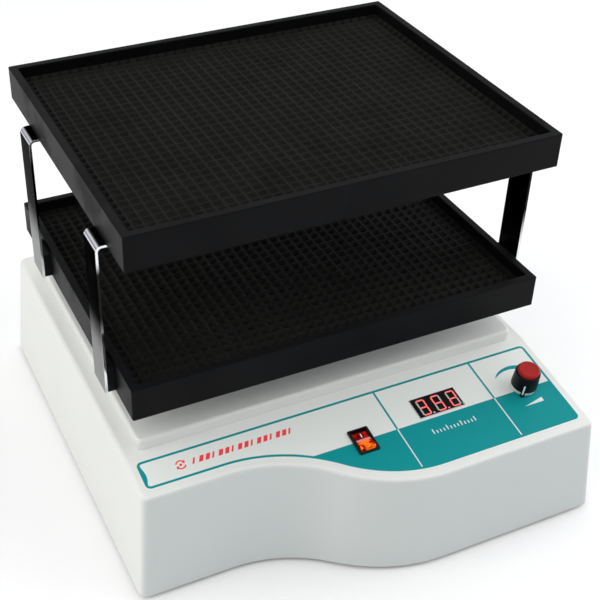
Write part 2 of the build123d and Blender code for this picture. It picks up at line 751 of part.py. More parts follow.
SCREW_REACH = TRAY_SKIRT + SPACER_T + BRACKET_T - 0.4
for side_name, side in SIDES.items():
    wall = Plane(
        origin=(side * (TRAY_W / 2 - TRAY_SKIRT), 0, LOWER_Z + SIDE_SCREW_Z),
        x_dir=(0, 1, 0), z_dir=(-side, 0, 0),
    )
    spots = [(wall.to_local_coords(Vector(wall.origin.X, y + dy, wall.origin.Z)).X, 0)
             for y in BRACKET_ROWS.values() for dy in (-7, 7)]
    legs = [f"bracket_{row}_{side_name}" for row in BRACKET_ROWS]
    clamped = ["lower_tray", "bracket_spacers"] + legs
    fasten("platform_screws", wall, spots, M4, SCREW_REACH, clamped, 3.1, 2.4)
flange_spots = [
    (side * (LEG_X - 26), y + dy)
    for side in SIDES.values() for y in BRACKET_ROWS.values() for dy in (-7, 7)
]
fasten(
    "platform_screws", UNDER.offset(-(UPPER_Z - BRACKET_T)), flipped(flange_spots), M4,
    BRACKET_T + PLATE_T + 3.4,
    ["support_plate"] + [f"bracket_{row}_{name}" for row in BRACKET_ROWS for name in SIDES], 3.4, 2.4,
)
PIECES["flange_nuts"] = nuts(Plane.XY.offset(UPPER_Z + PLATE_T), flange_spots, 7, 3.0, M4)

# ========================================================= control panel
LABEL_BACK = PANEL_BREAK - LABEL_TOP * cos(radians(PANEL_TILT))
TOP = PANEL.offset(LABEL_T)     # the surface that the controls stand on
WALL_IN = -LABEL_T - WALL       # inner side of the panel wall, measured from TOP


def on_panel(spot, height=0.0):
    """Plane parallel to the panel at a place on it and a height above TOP."""
    point = TOP.from_local_coords((spot[0], spot[1], height))
    return Plane(origin=point, x_dir=TOP.x_dir, z_dir=TOP.z_dir)


with BuildPart() as panel_label:
    with BuildSketch(Plane.XY.offset(RIM_Z - 50)) as label_plan:
        add(housing_plan(-LABEL_MARGIN))
        with Locations((0, LABEL_BACK)):
            Rectangle(2 * LABEL_X, 200, align=(Align.CENTER, Align.MAX), mode=Mode.INTERSECT)
        fillet([v for v in label_plan.vertices() if abs(v.X) > LABEL_X - 1], LABEL_R)
    extrude(amount=60)
    with BuildSketch(PANEL):
        Rectangle(2 * BASE_W, 2 * BASE_W)
    extrude(amount=LABEL_T, mode=Mode.INTERSECT)
    with BuildSketch(TOP.offset(1)):
        with Locations(SWITCH):
            Rectangle(SWITCH_W - 1.4, SWITCH_L - 1.2)
        with Locations(DISPLAY):
            Rectangle(DISPLAY_W + 0.4, DISPLAY_L + 0.4)
        with Locations(KNOB):
            Circle(3.9)
    extrude(amount=-3, mode=Mode.SUBTRACT)
PIECES["panel_label"] = panel_label

ROCKER_R = 9.6                  # swing of the rocker's ends about its pivot
ROCKER_PIVOT = -1.8             # pivot height relative to TOP
ROCKER_TILT = 9.0               # either way from level; at rest the back is pressed
ROCKER_W = 12.6
TRUNNION_R = 1.0
ACROSS = Plane(
    origin=TOP.from_local_coords((SWITCH[0], SWITCH[1], ROCKER_PIVOT)),
    x_dir=TOP.y_dir, z_dir=TOP.x_dir,
)

with BuildPart() as switch_body:
    with BuildSketch(on_panel(SWITCH)):
        RectangleRounded(SWITCH_W, SWITCH_L, 1.0)
    extrude(amount=1.8)
    chamfer(switch_body.faces().sort_by(Axis(origin=(0, 0, 0), direction=TOP.z_dir))[-1].edges(), 0.4)
    with BuildSketch(on_panel(SWITCH)):
        Rectangle(SWITCH_W - 2, SWITCH_L - 1.8)
    extrude(amount=-14)
    with BuildSketch(on_panel(SWITCH, 1.8)):
        Rectangle(ROCKER_W + 0.6, 2 * ROCKER_R + 0.6)
    extrude(amount=-12.6, mode=Mode.SUBTRACT)
    with BuildSketch(ACROSS.offset(-SWITCH_W)):
        Circle(TRUNNION_R + RUNNING)
    extrude(amount=2 * SWITCH_W, mode=Mode.SUBTRACT)
PIECES["switch_body"] = switch_body

with BuildPart() as switch_terminals:
    with BuildSketch(on_panel(SWITCH, -14)):
        with GridLocations(1, 6.5, 1, 3):
            Rectangle(4.8, 0.8)
    extrude(amount=-8)
PIECES["switch_terminals"] = switch_terminals

with BuildPart() as rocker:
    with BuildSketch(ACROSS.offset(-ROCKER_W / 2)):
        Circle(ROCKER_R)
        Polygon(
            (-12, 5.0), (0, 3.2), (12, 5.0), (12, -4), (-12, -4),
            rotation=-ROCKER_TILT, align=None, mode=Mode.INTERSECT,
        )
    extrude(amount=ROCKER_W)
    with BuildSketch(ACROSS.offset(-SWITCH_W / 2 + 1.2)):
        Circle(TRUNNION_R)
    extrude(amount=SWITCH_W - 2.4)
PIECES["rocker"] = rocker

with BuildPart() as display_module:
    with BuildSketch(on_panel(DISPLAY)):
        Rectangle(DISPLAY_W, DISPLAY_L)
    extrude(amount=-8)
PIECES["display_module"] = display_module
with BuildPart() as display_board:
    with BuildSketch(on_panel(DISPLAY, -8)):
        Rectangle(DISPLAY_W + 16, DISPLAY_L + 10)
        with GridLocations(DISPLAY_W + 9, 1, 2, 1):
            Circle(1.6, mode=Mode.SUBTRACT)
    extrude(amount=-1.6)
PIECES["display_board"] = display_board
display_posts = [(DISPLAY[0] + dx, DISPLAY[1]) for dx in (-(DISPLAY_W + 9) / 2, (DISPLAY_W + 9) / 2)]
display_stands = tubes(TOP.offset(-8), display_posts, 3.0, 1.4, 8 + WALL_IN)

SHAFT_R = 3.0
BUSH_R = 3.5
with BuildPart() as potentiometer:
    with BuildSketch(on_panel(KNOB, WALL_IN)):
        Circle(8.5)
    extrude(amount=-9)
    with BuildSketch(on_panel(KNOB, WALL_IN)):
        Circle(BUSH_R)
    extrude(amount=5 - WALL_IN)
    with BuildSketch(on_panel(KNOB, 5)):
        Circle(SHAFT_R + RUNNING)
    extrude(amount=WALL_IN - 12, mode=Mode.SUBTRACT)
PIECES["potentiometer"] = potentiometer
PIECES["potentiometer_nut"] = nuts(on_panel(KNOB), [(0, 0)], 10, 2.2, BUSH_R)
with BuildPart() as potentiometer_shaft:
    with BuildSketch(on_panel(KNOB, WALL_IN - 6.5)):
        Circle(SHAFT_R)
    extrude(amount=15 - WALL_IN + 6.5)
PIECES["potentiometer_shaft"] = potentiometer_shaft

KNOB_R = 10.5
KNOB_TOP_R = 9.9
RING_R = 9.2
RING_Z = 0.8
RING_H = 4.0
BODY_Z = RING_Z + RING_H
BODY_H = 14.2
CAP_R = 8.6
CAP_H = 3.2                     # the cap stands this far above the body
CAP_DEEP = 2.0                  # and is let into it this far
NIB_TURN = -40.0                # where the pointer stands at rest, from straight forward
NIB = (KNOB_R * sin(radians(NIB_TURN)), -KNOB_R * cos(radians(NIB_TURN)))
NIB_H = 16.5

PIECES["knob_ring"] = tubes(on_panel(KNOB, RING_Z), [(0, 0)], RING_R, 7.2, RING_H)
with BuildPart() as knob_body:
    with BuildSketch(on_panel(KNOB, BODY_Z)):
        Circle(KNOB_R)
    with BuildSketch(on_panel(KNOB, BODY_Z + BODY_H)):
        Circle(KNOB_TOP_R)
    loft()
    with BuildSketch(on_panel(KNOB, BODY_Z)):
        Circle(5)
    extrude(amount=2, mode=Mode.SUBTRACT)
    with BuildSketch(on_panel(KNOB, BODY_Z)):
        Circle(SHAFT_R)
    extrude(amount=15 - BODY_Z, mode=Mode.SUBTRACT)
    with BuildSketch(on_panel(KNOB, BODY_Z + BODY_H)):
        Circle(CAP_R)
    extrude(amount=-CAP_DEEP, mode=Mode.SUBTRACT)
    with BuildSketch(on_panel(KNOB, RING_Z)):
        with Locations(NIB):
            Rectangle(3.2, 2.2, rotation=NIB_TURN)
    extrude(amount=NIB_H)
PIECES["knob_body"] = knob_body
with BuildPart() as knob_cap:
    with BuildSketch(on_panel(KNOB, BODY_Z + BODY_H - CAP_DEEP)):
        Circle(CAP_R)
    extrude(amount=CAP_DEEP + CAP_H)
    fillet(knob_cap.faces().sort_by(Axis(origin=(0, 0, 0), direction=TOP.z_dir))[-1].edges(), 1.3)
PIECES["knob_cap"] = knob_cap

# ============================================================ electronics
BOARD_XY = (96.0, -112.0)
BOARD = (80.0, 60.0)
BOARD_Z = COVER_Z + 8
board_corners = [
    (BOARD_XY[0] + sx * (BOARD[0] / 2 - 4), BOARD_XY[1] + sy * (BOARD[1] / 2 - 4))
    for sx in (-1, 1) for sy in (-1, 1)
]
with BuildPart() as control_board:
    with BuildSketch(Plane.XY.offset(BOARD_Z)):
        with Locations(BOARD_XY):
            RectangleRounded(*BOARD, 2)
        with Locations(*board_corners):
            Circle(1.6, mode=Mode.SUBTRACT)
    extrude(amount=1.6)
PIECES["control_board"] = control_board
board_stands = tubes(Plane.XY.offset(COVER_Z), board_corners, 3.0, 1.6, BOARD_Z - COVER_Z)
PIECES["board_standoffs"] = grouped([board_stands.part, display_stands.part])
fasten("cover_screws", Plane.XY.offset(BOARD_Z + 1.6), board_corners, M3, 7, ["control_board"], 2.6, 1.6)
BOARD_TOP = BOARD_Z + 1.6
with BuildPart() as board_capacitors:
    with BuildSketch(Plane.XY.offset(BOARD_TOP)):
        with Locations((BOARD_XY[0] - 22, BOARD_XY[1] + 12), (BOARD_XY[0] - 4, BOARD_XY[1] + 12)):
            Circle(8)
    extrude(amount=26)
    fillet(board_capacitors.faces().sort_by(Axis.Z)[-2:].edges(), 1.2)
with BuildPart() as heat_sink:
    with BuildSketch(at(BOARD_XY[0] + 22, BOARD_XY[1] + 8, BOARD_TOP)):
        Rectangle(24, 3)
        with GridLocations(4.5, 1, 6, 1):
            Rectangle(1.2, 14)
    extrude(amount=24)
with BuildPart() as board_chips:
    for x, y, length, width, height in (
        (-18, -14, 30, 10, 4), (14, -16, 18, 8, 3.5), (30, -14, 8, 16, 12),
    ):
        with BuildSketch(at(BOARD_XY[0] + x, BOARD_XY[1] + y, BOARD_TOP)):
            Rectangle(length, width)
        extrude(amount=height)
PIECES["board_components"] = grouped([board_capacitors.part, heat_sink.part, board_chips.part])

CORE_XY = (-118.0, -70.0)
with BuildPart() as transformer_core:
    with BuildSketch(at(*CORE_XY, COVER_Z)):
        Rectangle(66, 24)
    extrude(amount=52)
    with BuildSketch(at(*CORE_XY, COVER_Z)):
        Rectangle(84, 18)
    extrude(amount=1.6)
    with BuildSketch(Plane(origin=(*CORE_XY, COVER_Z + 27), x_dir=(1, 0, 0), z_dir=(0, -1, 0)).offset(-20)):
        with Locations((-16.5, 0), (16.5, 0)):
            Rectangle(11, 32)
    extrude(amount=40, mode=Mode.SUBTRACT)
PIECES["transformer_core"] = transformer_core
fasten(
    "chassis_screws", Plane.XY.offset(COVER_Z + 1.6),
    [(CORE_XY[0] + dx, CORE_XY[1]) for dx in (-38, 38)], M4, 3.4,
    ["transformer_core", "base_plate"],
)
with BuildPart() as transformer_winding:
    with BuildSketch(at(*CORE_XY, COVER_Z + 11.5)):
        RectangleRounded(43.4, 46, 3)
        Rectangle(22.4, 24.4, mode=Mode.SUBTRACT)
    extrude(amount=31)
PIECES["transformer_winding"] = transformer_winding

# ============================================================ power inlet
FLANGE_T = 2.0
PLUG = (22.5, 16.0)             # the socket's mouth
PLUG_Y = 4.6
DRAWER = (21.4, 6.4)
DRAWER_Y = -9.0
DRAWER_L = 18.0
GAP = 0.3
with BuildPart() as power_inlet:
    with BuildSketch(INLET):
        RectangleRounded(48, 31, 3)
    extrude(amount=FLANGE_T)
    with BuildSketch(INLET):
        Rectangle(INLET_W, INLET_H)
    extrude(amount=-22)
    with BuildSketch(INLET.offset(FLANGE_T)):
        with Locations((0, PLUG_Y)):
            Rectangle(*PLUG)
    extrude(amount=-17, mode=Mode.SUBTRACT)
    with BuildSketch(INLET.offset(FLANGE_T)):
        with Locations((0, DRAWER_Y)):
            Rectangle(DRAWER[0] + 2 * GAP, DRAWER[1] + 2 * GAP)
    extrude(amount=-FLANGE_T - DRAWER_L - GAP, mode=Mode.SUBTRACT)
PIECES["power_inlet"] = power_inlet
with BuildPart() as inlet_pins:
    with BuildSketch(INLET.offset(FLANGE_T - 17)):
        with Locations((-7, PLUG_Y - 2), (7, PLUG_Y - 2), (0, PLUG_Y + 3)):
            Rectangle(2, 4)
    extrude(amount=12)
PIECES["inlet_pins"] = inlet_pins
with BuildPart() as fuse_drawer:
    with BuildSketch(INLET.offset(FLANGE_T)):
        with Locations((0, DRAWER_Y)):
            Rectangle(*DRAWER)
    extrude(amount=-FLANGE_T - DRAWER_L)
    with BuildSketch(INLET.offset(FLANGE_T)):
        with Locations((0, DRAWER_Y + DRAWER[1] / 2)):
            Rectangle(8, 2.4)
    extrude(amount=-1.2, mode=Mode.SUBTRACT)
    with BuildSketch(INLET.offset(-4)):
        with Locations((0, DRAWER_Y + 1)):
            Rectangle(20.4, DRAWER[1])
    extrude(amount=-5.6, mode=Mode.SUBTRACT)
PIECES["fuse_drawer"] = fuse_drawer
with BuildPart() as fuse:
    with BuildSketch(Plane(
        origin=INLET.from_local_coords((-10, DRAWER_Y + 0.6, -6.8)), x_dir=INLET.y_dir, z_dir=INLET.x_dir,
    )):
        Circle(2.4)
    extrude(amount=20)
PIECES["fuse"] = fuse
fasten(
    "cover_screws", INLET.offset(FLANGE_T), [(-19.5, 0), (19.5, 0)], M3, 8,
    ["power_inlet", "housing_shell"], 2.8, 1.2,
)

for node, sets in SCREWS.items():
    PIECES[node] = grouped(sets)

for name, piece in PIECES.items():
    piece.part.label = name
    export_step(piece.part, f"parts/{name}.step")
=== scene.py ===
"""The looks of a two-tier orbital shaker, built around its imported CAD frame.

Metres, in the frame of the CAD model: X to the right, Y to the back, Z up,
with the origin on the bench under the middle of the housing.
"""
import json
import logging
from dataclasses import dataclass
from enum import Enum
from math import atan, cos, pi, radians, sin

import bmesh
import bpy
import numpy as np
from mathutils import Matrix, Vector

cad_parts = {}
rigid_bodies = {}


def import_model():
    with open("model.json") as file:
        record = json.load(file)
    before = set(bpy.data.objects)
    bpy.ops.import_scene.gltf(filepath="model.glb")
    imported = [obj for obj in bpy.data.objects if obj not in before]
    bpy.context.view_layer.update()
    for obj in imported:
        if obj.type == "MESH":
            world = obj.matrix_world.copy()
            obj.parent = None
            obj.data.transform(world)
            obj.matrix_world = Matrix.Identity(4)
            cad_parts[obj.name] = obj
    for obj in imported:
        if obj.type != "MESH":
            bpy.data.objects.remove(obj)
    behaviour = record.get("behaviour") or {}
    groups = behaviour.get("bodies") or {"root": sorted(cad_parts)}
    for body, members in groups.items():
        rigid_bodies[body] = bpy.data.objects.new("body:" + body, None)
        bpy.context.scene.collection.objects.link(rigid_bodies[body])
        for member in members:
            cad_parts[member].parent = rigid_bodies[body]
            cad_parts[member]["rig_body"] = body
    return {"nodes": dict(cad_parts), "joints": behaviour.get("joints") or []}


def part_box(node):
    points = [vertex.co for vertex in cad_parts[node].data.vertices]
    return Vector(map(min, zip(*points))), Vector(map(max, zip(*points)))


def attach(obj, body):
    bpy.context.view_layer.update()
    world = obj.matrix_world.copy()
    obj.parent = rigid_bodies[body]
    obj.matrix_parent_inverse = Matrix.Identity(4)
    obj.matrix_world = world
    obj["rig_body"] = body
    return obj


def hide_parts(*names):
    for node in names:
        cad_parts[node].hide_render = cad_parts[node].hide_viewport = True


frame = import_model()

LOG = logging.getLogger("shaker")
MM = 0.001
Points = np.ndarray
Place = tuple[float, float]
Spot = tuple[float, float, float]
Colour = tuple[float, float, float]
Socket = bpy.types.NodeSocket


# ------------------------------------------------------------------ meshes
@dataclass
class Surface:
    """Points and faces worked out before they become a mesh."""

    points: Points
    faces: list

    def __add__(self, other: "Surface") -> "Surface":
        """Both surfaces as one, with the second's faces renumbered."""
        shift = len(self.points)
        moved = [tuple(i + shift for i in face) for face in other.faces]
        return Surface(np.vstack([self.points, other.points]), self.faces + moved)


def joined(shapes: list[Surface]) -> Surface:
    """Several surfaces as one, in order."""
    whole = shapes[0]
    for shape in shapes[1:]:
        whole = whole + shape
    return whole


def grid(points: Points, wrap_rows: bool = False) -> Surface:
    """Quads over a grid of points.

    Each quad joins point (i, j) to its neighbours at i + 1 and j + 1, so its
    normal is the step along i crossed with the step along j.

    Args:
        points: array of shape (rows, columns, 3).
        wrap_rows: join the last row to the first.

    Returns:
        The surface.
    """
    rows, columns = points.shape[:2]
    i, j = np.meshgrid(
        np.arange(rows if wrap_rows else rows - 1), np.arange(columns - 1), indexing="ij",
    )
    i1, j1 = (i + 1) % rows, j + 1
    quads = np.stack([i * columns + j, i1 * columns + j, i1 * columns + j1, i * columns + j1], -1)
    return Surface(points.reshape(-1, 3), [tuple(q) for q in quads.reshape(-1, 4).tolist()])


def lathe(profile: list[Place], centre: Place, count: int) -> Surface:
    """A profile turned about an upright axis.

    A point of the profile at radius r and height h becomes the ring
    (cx + r cos t, cy + r sin t, h) for t from 0 to 2 pi.

    Args:
        profile: radius and height, from the bottom outwards and up.
        centre: where the axis stands.
        count: points around each ring.

    Returns:
        The surface in local axes.
    """
    radius, height = np.array(profile).T
    turn = np.linspace(0, 2 * pi, count, endpoint=False)
    ring = np.stack([np.cos(turn), np.sin(turn)], -1)
    points = np.empty((len(radius), count, 3))
    points[..., :2] = np.array(centre) + radius[:, None, None] * ring[None]
    points[..., 2] = height[:, None]
    return grid(points.transpose(1, 0, 2), wrap_rows=True)


def prism(outline: Points, low: float, high: float, soften: float = 0.0) -> Surface:
    """A flat closed shape given a thickness, its upper edge eased by a chamfer.

    The wall is the outline swept from low to high; the chamfer moves the last
    ring towards the outline's middle by the same share of its size all round.

    Args:
        outline: array of shape (n, 2), anticlockwise.
        low: height of the underside.
        high: height of the top.
        soften: size of the chamfer.

    Returns:
        The closed surface.
    """
    middle = outline.mean(0)
    reach = np.abs(outline - middle).max()
    inner = middle + (outline - middle) * (1 - soften / reach)
    rings = [(outline, low), (outline, high - soften), (inner, high)]
    stack = np.stack([np.column_stack([plan, np.full(len(plan), z)]) for plan, z in rings])
    walls = grid(stack.transpose(1, 0, 2), wrap_rows=True)
    count = len(outline)
    top = tuple(i * 3 + 2 for i in range(count))
    bottom = tuple(i * 3 for i in reversed(range(count)))
    walls.faces += [top, bottom]
    return walls


def flat_face(outline: Points, height: float) -> Surface:
    """One flat face within an outline."""
    return Surface(np.column_stack([outline, np.full(len(outline), height)]), [tuple(range(len(outline)))])


def arc(centre: Place, radius: float, start: float, end: float, count: int) -> Points:
    """Points on a circular arc, angles in degrees."""
    turn = np.radians(np.linspace(start, end, count))
    return np.array(centre) + radius * np.stack([np.cos(turn), np.sin(turn)], -1)


def rounding(radius: float, height: float, ease: float, start: float, end: float, count: int) -> list[Place]:
    """Profile round an edge: (radius - ease + ease cos t, height + ease sin t), t in radians."""
    return [(radius - ease + ease * cos(t), height + ease * sin(t)) for t in np.linspace(start, end, count)]


def rounded_rectangle(centre: Place, size: Place, radius: float) -> Points:
    """Anticlockwise outline of a rectangle with quarter-circle corners."""
    half = np.array(size) / 2 - radius
    corners = [(1, 1, 0), (-1, 1, 90), (-1, -1, 180), (1, -1, 270)]
    parts = [
        arc((centre[0] + sx * half[0], centre[1] + sy * half[1]), radius, start, start + 90, 6)
        for sx, sy, start in corners
    ]
    return np.vstack(parts)


def sharpen(mesh: bpy.types.Mesh, limit: float) -> None:
    """Smooth shading, with edges that turn by more than limit degrees kept crisp."""
    work = bmesh.new()
    work.from_mesh(mesh)
    for face in work.faces:
        face.smooth = True
    for edge in work.edges:
        edge.smooth = len(edge.link_faces) == 2 and edge.calc_face_angle(0) < radians(limit)
    work.to_mesh(mesh)
    work.free()


def present(name: str, mesh: bpy.types.Mesh, finish: "Finish", body: str) -> bpy.types.Object:
    """Put a mesh in the scene in its finish, riding on a body.

    Args:
        name: the piece's name.
        mesh: its finished mesh.
        finish: what it is dressed in.
        body: the CAD body that carries it.

    Returns:
        The object.
    """
    mesh.materials.clear()
    mesh.materials.append(finish.material())
    piece = bpy.data.objects.new(name, mesh)
    bpy.context.scene.collection.objects.link(piece)
    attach(piece, body)
    LOG.info("%s: %d faces on %s", name, len(mesh.polygons), body)
    return piece


def make(
    name: str, surface: Surface, finish: "Finish", body: str, crisp: float = 35,
) -> bpy.types.Object:
    """Turn a surface into a finished piece that rides on a body.

    Args:
        name: the piece's name.
        surface: its points, in the frame, and its faces.
        finish: what it is dressed in.
        body: the CAD body that carries it.
        crisp: edges that turn by more than this many degrees stay sharp.

    Returns:
        The object.
    """
    mesh = bpy.data.meshes.new(name)
    mesh.from_pydata(surface.points.tolist(), [], surface.faces)
    work = bmesh.new()
    work.from_mesh(mesh)
    bmesh.ops.remove_doubles(work, verts=work.verts, dist=1e-6)
    bmesh.ops.recalc_face_normals(work, faces=work.faces)
    work.to_mesh(mesh)
    work.free()
    sharpen(mesh, crisp)
    return present(name, mesh, finish, body)


def eased(node: str, finish: "Finish", width: float, segments: int) -> bpy.types.Object:
    """A CAD node's own shape with its sharp edges rounded, in place of the node.

    Args:
        node: the CAD node.
        finish: what it is dressed in.
        width: width of the rounding.
        segments: steps across the rounding.

    Returns:
        The object that stands for the node.
    """
    mesh = frame["nodes"][node].data.copy()
    mesh.name = f"{node}_eased"
    normals = mesh.attributes.get("custom_normal")
    if normals:
        mesh.attributes.remove(normals)
    work = bmesh.new()
    work.from_mesh(mesh)
    bmesh.ops.remove_doubles(work, verts=work.verts, dist=2e-6)
    bmesh.ops.dissolve_limit(
        work, angle_limit=radians(0.5), verts=work.verts, edges=work.edges, use_dissolve_boundaries=False,
    )
    work.to_mesh(mesh)
    work.free()
    sharpen(mesh, 30)
    piece = present(mesh.name, mesh, finish, frame["nodes"][node]["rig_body"])
    bevel = piece.modifiers.new("eased_edges", "BEVEL")
    bevel.width = width
    bevel.segments = segments
    bevel.limit_method = "ANGLE"
    bevel.angle_limit = radians(40)
    bevel.harden_normals = True
    bevel.use_clamp_overlap = True
    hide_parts(node)
    return piece


# --------------------------------------------------------------- materials
class Tree:
    """Short calls for building a tree of shader nodes."""

    def __init__(self, tree: bpy.types.NodeTree) -> None:
        """Keep the tree that the calls add to."""
        self.tree = tree

    def add(self, kind: str, settings: dict | None = None, **sockets: object) -> bpy.types.Node:
        """Add a node.

        Args:
            kind: its type without the ShaderNode prefix.
            settings: properties of the node.
            sockets: input name, spaces as underscores, or _0, _1 by place,
                with a value or an output to link.

        Returns:
            The node.
        """
        node = self.tree.nodes.new(f"ShaderNode{kind}")
        for key, value in (settings or {}).items():
            setattr(node, key, value)
        for key, value in sockets.items():
            place = int(key[1:]) if key[0] == "_" else key.replace("_", " ")
            if isinstance(value, Socket):
                self.tree.links.new(value, node.inputs[place])
            else:
                node.inputs[place].default_value = value
        return node

    def math(self, operation: str, *values: object) -> Socket:
        """One arithmetic step."""
        sockets = {f"_{i}": value for i, value in enumerate(values)}
        return self.add("Math", {"operation": operation}, **sockets).outputs[0]

    def band(self, value: Socket, low: float, high: float) -> Socket:
        """A smooth step of a value from 0 at low to 1 at high, which may be the lesser."""
        node = self.add(
            "MapRange", {"interpolation_type": "SMOOTHSTEP"}, Value=value, From_Min=low, From_Max=high,
        )
        return node.outputs[0]

    def blend(self, mask: object, first: object, second: object) -> Socket:
        """Colour mixed from first to second by a mask."""
        node = self.add("Mix", {"data_type": "RGBA"}, _0=mask)
        for place, value in ((6, first), (7, second)):
            if isinstance(value, Socket):
                self.tree.links.new(value, node.inputs[place])
            else:
                node.inputs[place].default_value = (*value, 1)
        return node.outputs[2]

    def height(self, where: Socket) -> Socket:
        """How far a place is above the bench."""
        return self.add("SeparateXYZ", None, Vector=where).outputs[2]

    def facing(self) -> bpy.types.Node:
        """The parts of the surface's direction along X, Y and Z."""
        return self.add("SeparateXYZ", None, Vector=self.add("NewGeometry").outputs["Normal"])

    def noise(self, vector: object, scale: float, detail: float = 3, rough: float = 0.5) -> Socket:
        """Height of a fractal noise, 0 to 1."""
        node = self.add("TexNoise", None, Vector=vector, Scale=scale, Detail=detail, Roughness=rough)
        return node.outputs[0]


def new_group(
    name: str, inputs: dict[str, str], outputs: dict[str, str],
) -> tuple[Tree, bpy.types.Node, bpy.types.Node]:
    """An empty node group with its inputs and outputs.

    Args:
        name: the group's name.
        inputs: socket name to kind, Float, Vector or Color.
        outputs: the same.

    Returns:
        The tree, its input node and its output node.
    """
    group = bpy.data.node_groups.new(name, "ShaderNodeTree")
    for in_out, sockets in (("INPUT", inputs), ("OUTPUT", outputs)):
        for socket, kind in sockets.items():
            group.interface.new_socket(socket, in_out=in_out, socket_type=f"NodeSocket{kind}")
    return Tree(group), group.nodes.new("NodeGroupInput"), group.nodes.new("NodeGroupOutput")


def moulded_grain() -> bpy.types.NodeTree:
    """Fine grain of a moulding: two noises, the finer a third as strong."""
    name = "moulded_grain"
    if name in bpy.data.node_groups:
        return bpy.data.node_groups[name]
    tree, given, result = new_group(name, {"Vector": "Vector", "Scale": "Float"}, {"Height": "Float"})
    coarse = tree.add("TexNoise", None, Vector=given.outputs[0], Scale=given.outputs[1], Detail=2.0)
    finer = tree.math("MULTIPLY", given.outputs[1], 3.1)
    fine = tree.add("TexNoise", None, Vector=given.outputs[0], Scale=finer, Detail=1.0)
    third = tree.math("MULTIPLY", fine.outputs[0], 0.35)
    tree.tree.links.new(tree.math("ADD", coarse.outputs[0], third), result.inputs[0])
    return tree.tree


def handling() -> bpy.types.NodeTree:
    """Marks of use: smudges from a stretched noise, hairline scratches, dust on upward faces."""
    name = "handling"
    if name in bpy.data.node_groups:
        return bpy.data.node_groups[name]
    tree, given, result = new_group(
        name, {"Vector": "Vector", "Seed": "Float"}, {"Smudge": "Float", "Scratch": "Float", "Dust": "Float"},
    )
    vector = tree.add("VectorMath", {"operation": "ADD"}, _0=given.outputs[0], _1=given.outputs[1]).outputs[0]
    smudge = tree.band(tree.noise(vector, 18, 4, 0.6), 0.46, 0.68)
    tree.tree.links.new(smudge, result.inputs[0])
    warp = tree.add("Mapping", None, Vector=vector, Scale=(260, 14, 60), Rotation=(0.3, 0.2, 0.9)).outputs[0]
    lines = tree.add("TexNoise", None, Vector=warp, Scale=1.0, Detail=1.0).outputs[0]
    where = tree.band(tree.noise(vector, 9, 2), 0.5, 0.62)
    scratch = tree.math("MULTIPLY", tree.band(lines, 0.71, 0.76), where)
    tree.tree.links.new(scratch, result.inputs[1])
    up = tree.facing().outputs[2]
    fluff = tree.band(tree.noise(vector, 70, 5, 0.7), 0.42, 0.75)
    tree.tree.links.new(tree.math("MULTIPLY", tree.band(up, 0.3, 0.95), fluff), result.inputs[2])
    return tree.tree


class Brush(Enum):
    """Which way a metal's fine lines run; the value stretches the pattern."""

    NONE = None
    X = (3.0, 900.0, 900.0)
    Y = (900.0, 3.0, 900.0)
    Z = (900.0, 900.0, 3.0)


@dataclass(frozen=True)
class Finish:
    """A material described by a few numbers and built from shared effects.

    Colours are linear. grain is the number of grains in a metre, and depth
    the height of the relief in metres.
    """

    name: str
    colour: Colour
    roughness: float
    metallic: float = 0.0
    shade: float = 0.06
    grain: float = 900.0
    depth: float = 0.00002
    brush: Brush = Brush.NONE
    coat: float = 0.0
    smudge: float = 0.08
    scratch: float = 0.05
    dust: float = 0.0
    dust_colour: Colour = (0.42, 0.41, 0.39)
    transmission: float = 0.0
    glow: float = 0.0
    specular: float = 0.5

    def material(self) -> bpy.types.Material:
        """Build the material once and return it."""
        name = f"finish_{self.name}"
        if name in bpy.data.materials:
            return bpy.data.materials[name]
        made = bpy.data.materials.new(name)
        made.use_nodes = True
        made.node_tree.nodes.clear()
        tree = Tree(made.node_tree)
        where = tree.add("TexCoord").outputs["Object"]
        marks = tree.add("Group", {"node_tree": handling()}, Vector=where, Seed=len(self.name) * 0.37)
        relief = self.relief(tree, where)
        colour = self.base(tree, where)
        glow = colour
        dusty = tree.math("MULTIPLY", marks.outputs["Dust"], self.dust)
        colour = tree.blend(dusty, colour, self.dust_colour)
        rough = tree.math("MULTIPLY_ADD", marks.outputs["Smudge"], self.smudge, self.roughness)
        rough = tree.math("MULTIPLY_ADD", marks.outputs["Scratch"], self.scratch, rough)
        rough = tree.math("MULTIPLY_ADD", dusty, 0.4, rough)
        bump = tree.add("Bump", None, Height=relief, Distance=self.depth)
        shader = tree.add(
            "BsdfPrincipled", None, Base_Color=colour, Roughness=rough, Metallic=self.metallic,
            Normal=bump.outputs[0], Coat_Weight=self.coat, Coat_Roughness=0.12,
            Transmission_Weight=self.transmission, Specular_IOR_Level=self.specular,
            Specular_Tint=self.rim(tree, where),
        )
        if self.glow:
            made.node_tree.links.new(glow, shader.inputs["Emission Color"])
            shader.inputs["Emission Strength"].default_value = self.glow
        tree.add("OutputMaterial", None, Surface=shader.outputs[0])
        return made

    def base(self, tree: Tree, where: Socket) -> Socket:
        """The finish's own colour, darker by up to twice its shade in broad patches."""
        darker = tuple(c * (1 - 2 * self.shade) for c in self.colour)
        return tree.blend(tree.noise(where, 25, 2), self.colour, darker)

    def rim(self, tree: Tree, where: Socket) -> object:
        """Tint of the reflection seen at a low angle, here white all over."""
        return (1.0, 1.0, 1.0, 1.0)

    def relief(self, tree: Tree, where: Socket) -> Socket:
        """Height pattern: moulded grain, or lines along the way the metal was brushed."""
        if self.brush is Brush.NONE:
            grain = tree.add("Group", {"node_tree": moulded_grain()}, Vector=where, Scale=self.grain)
            return grain.outputs[0]
        stretched = tree.add("Mapping", None, Vector=where, Scale=self.brush.value).outputs[0]
        return tree.noise(stretched, 1.0, 3)


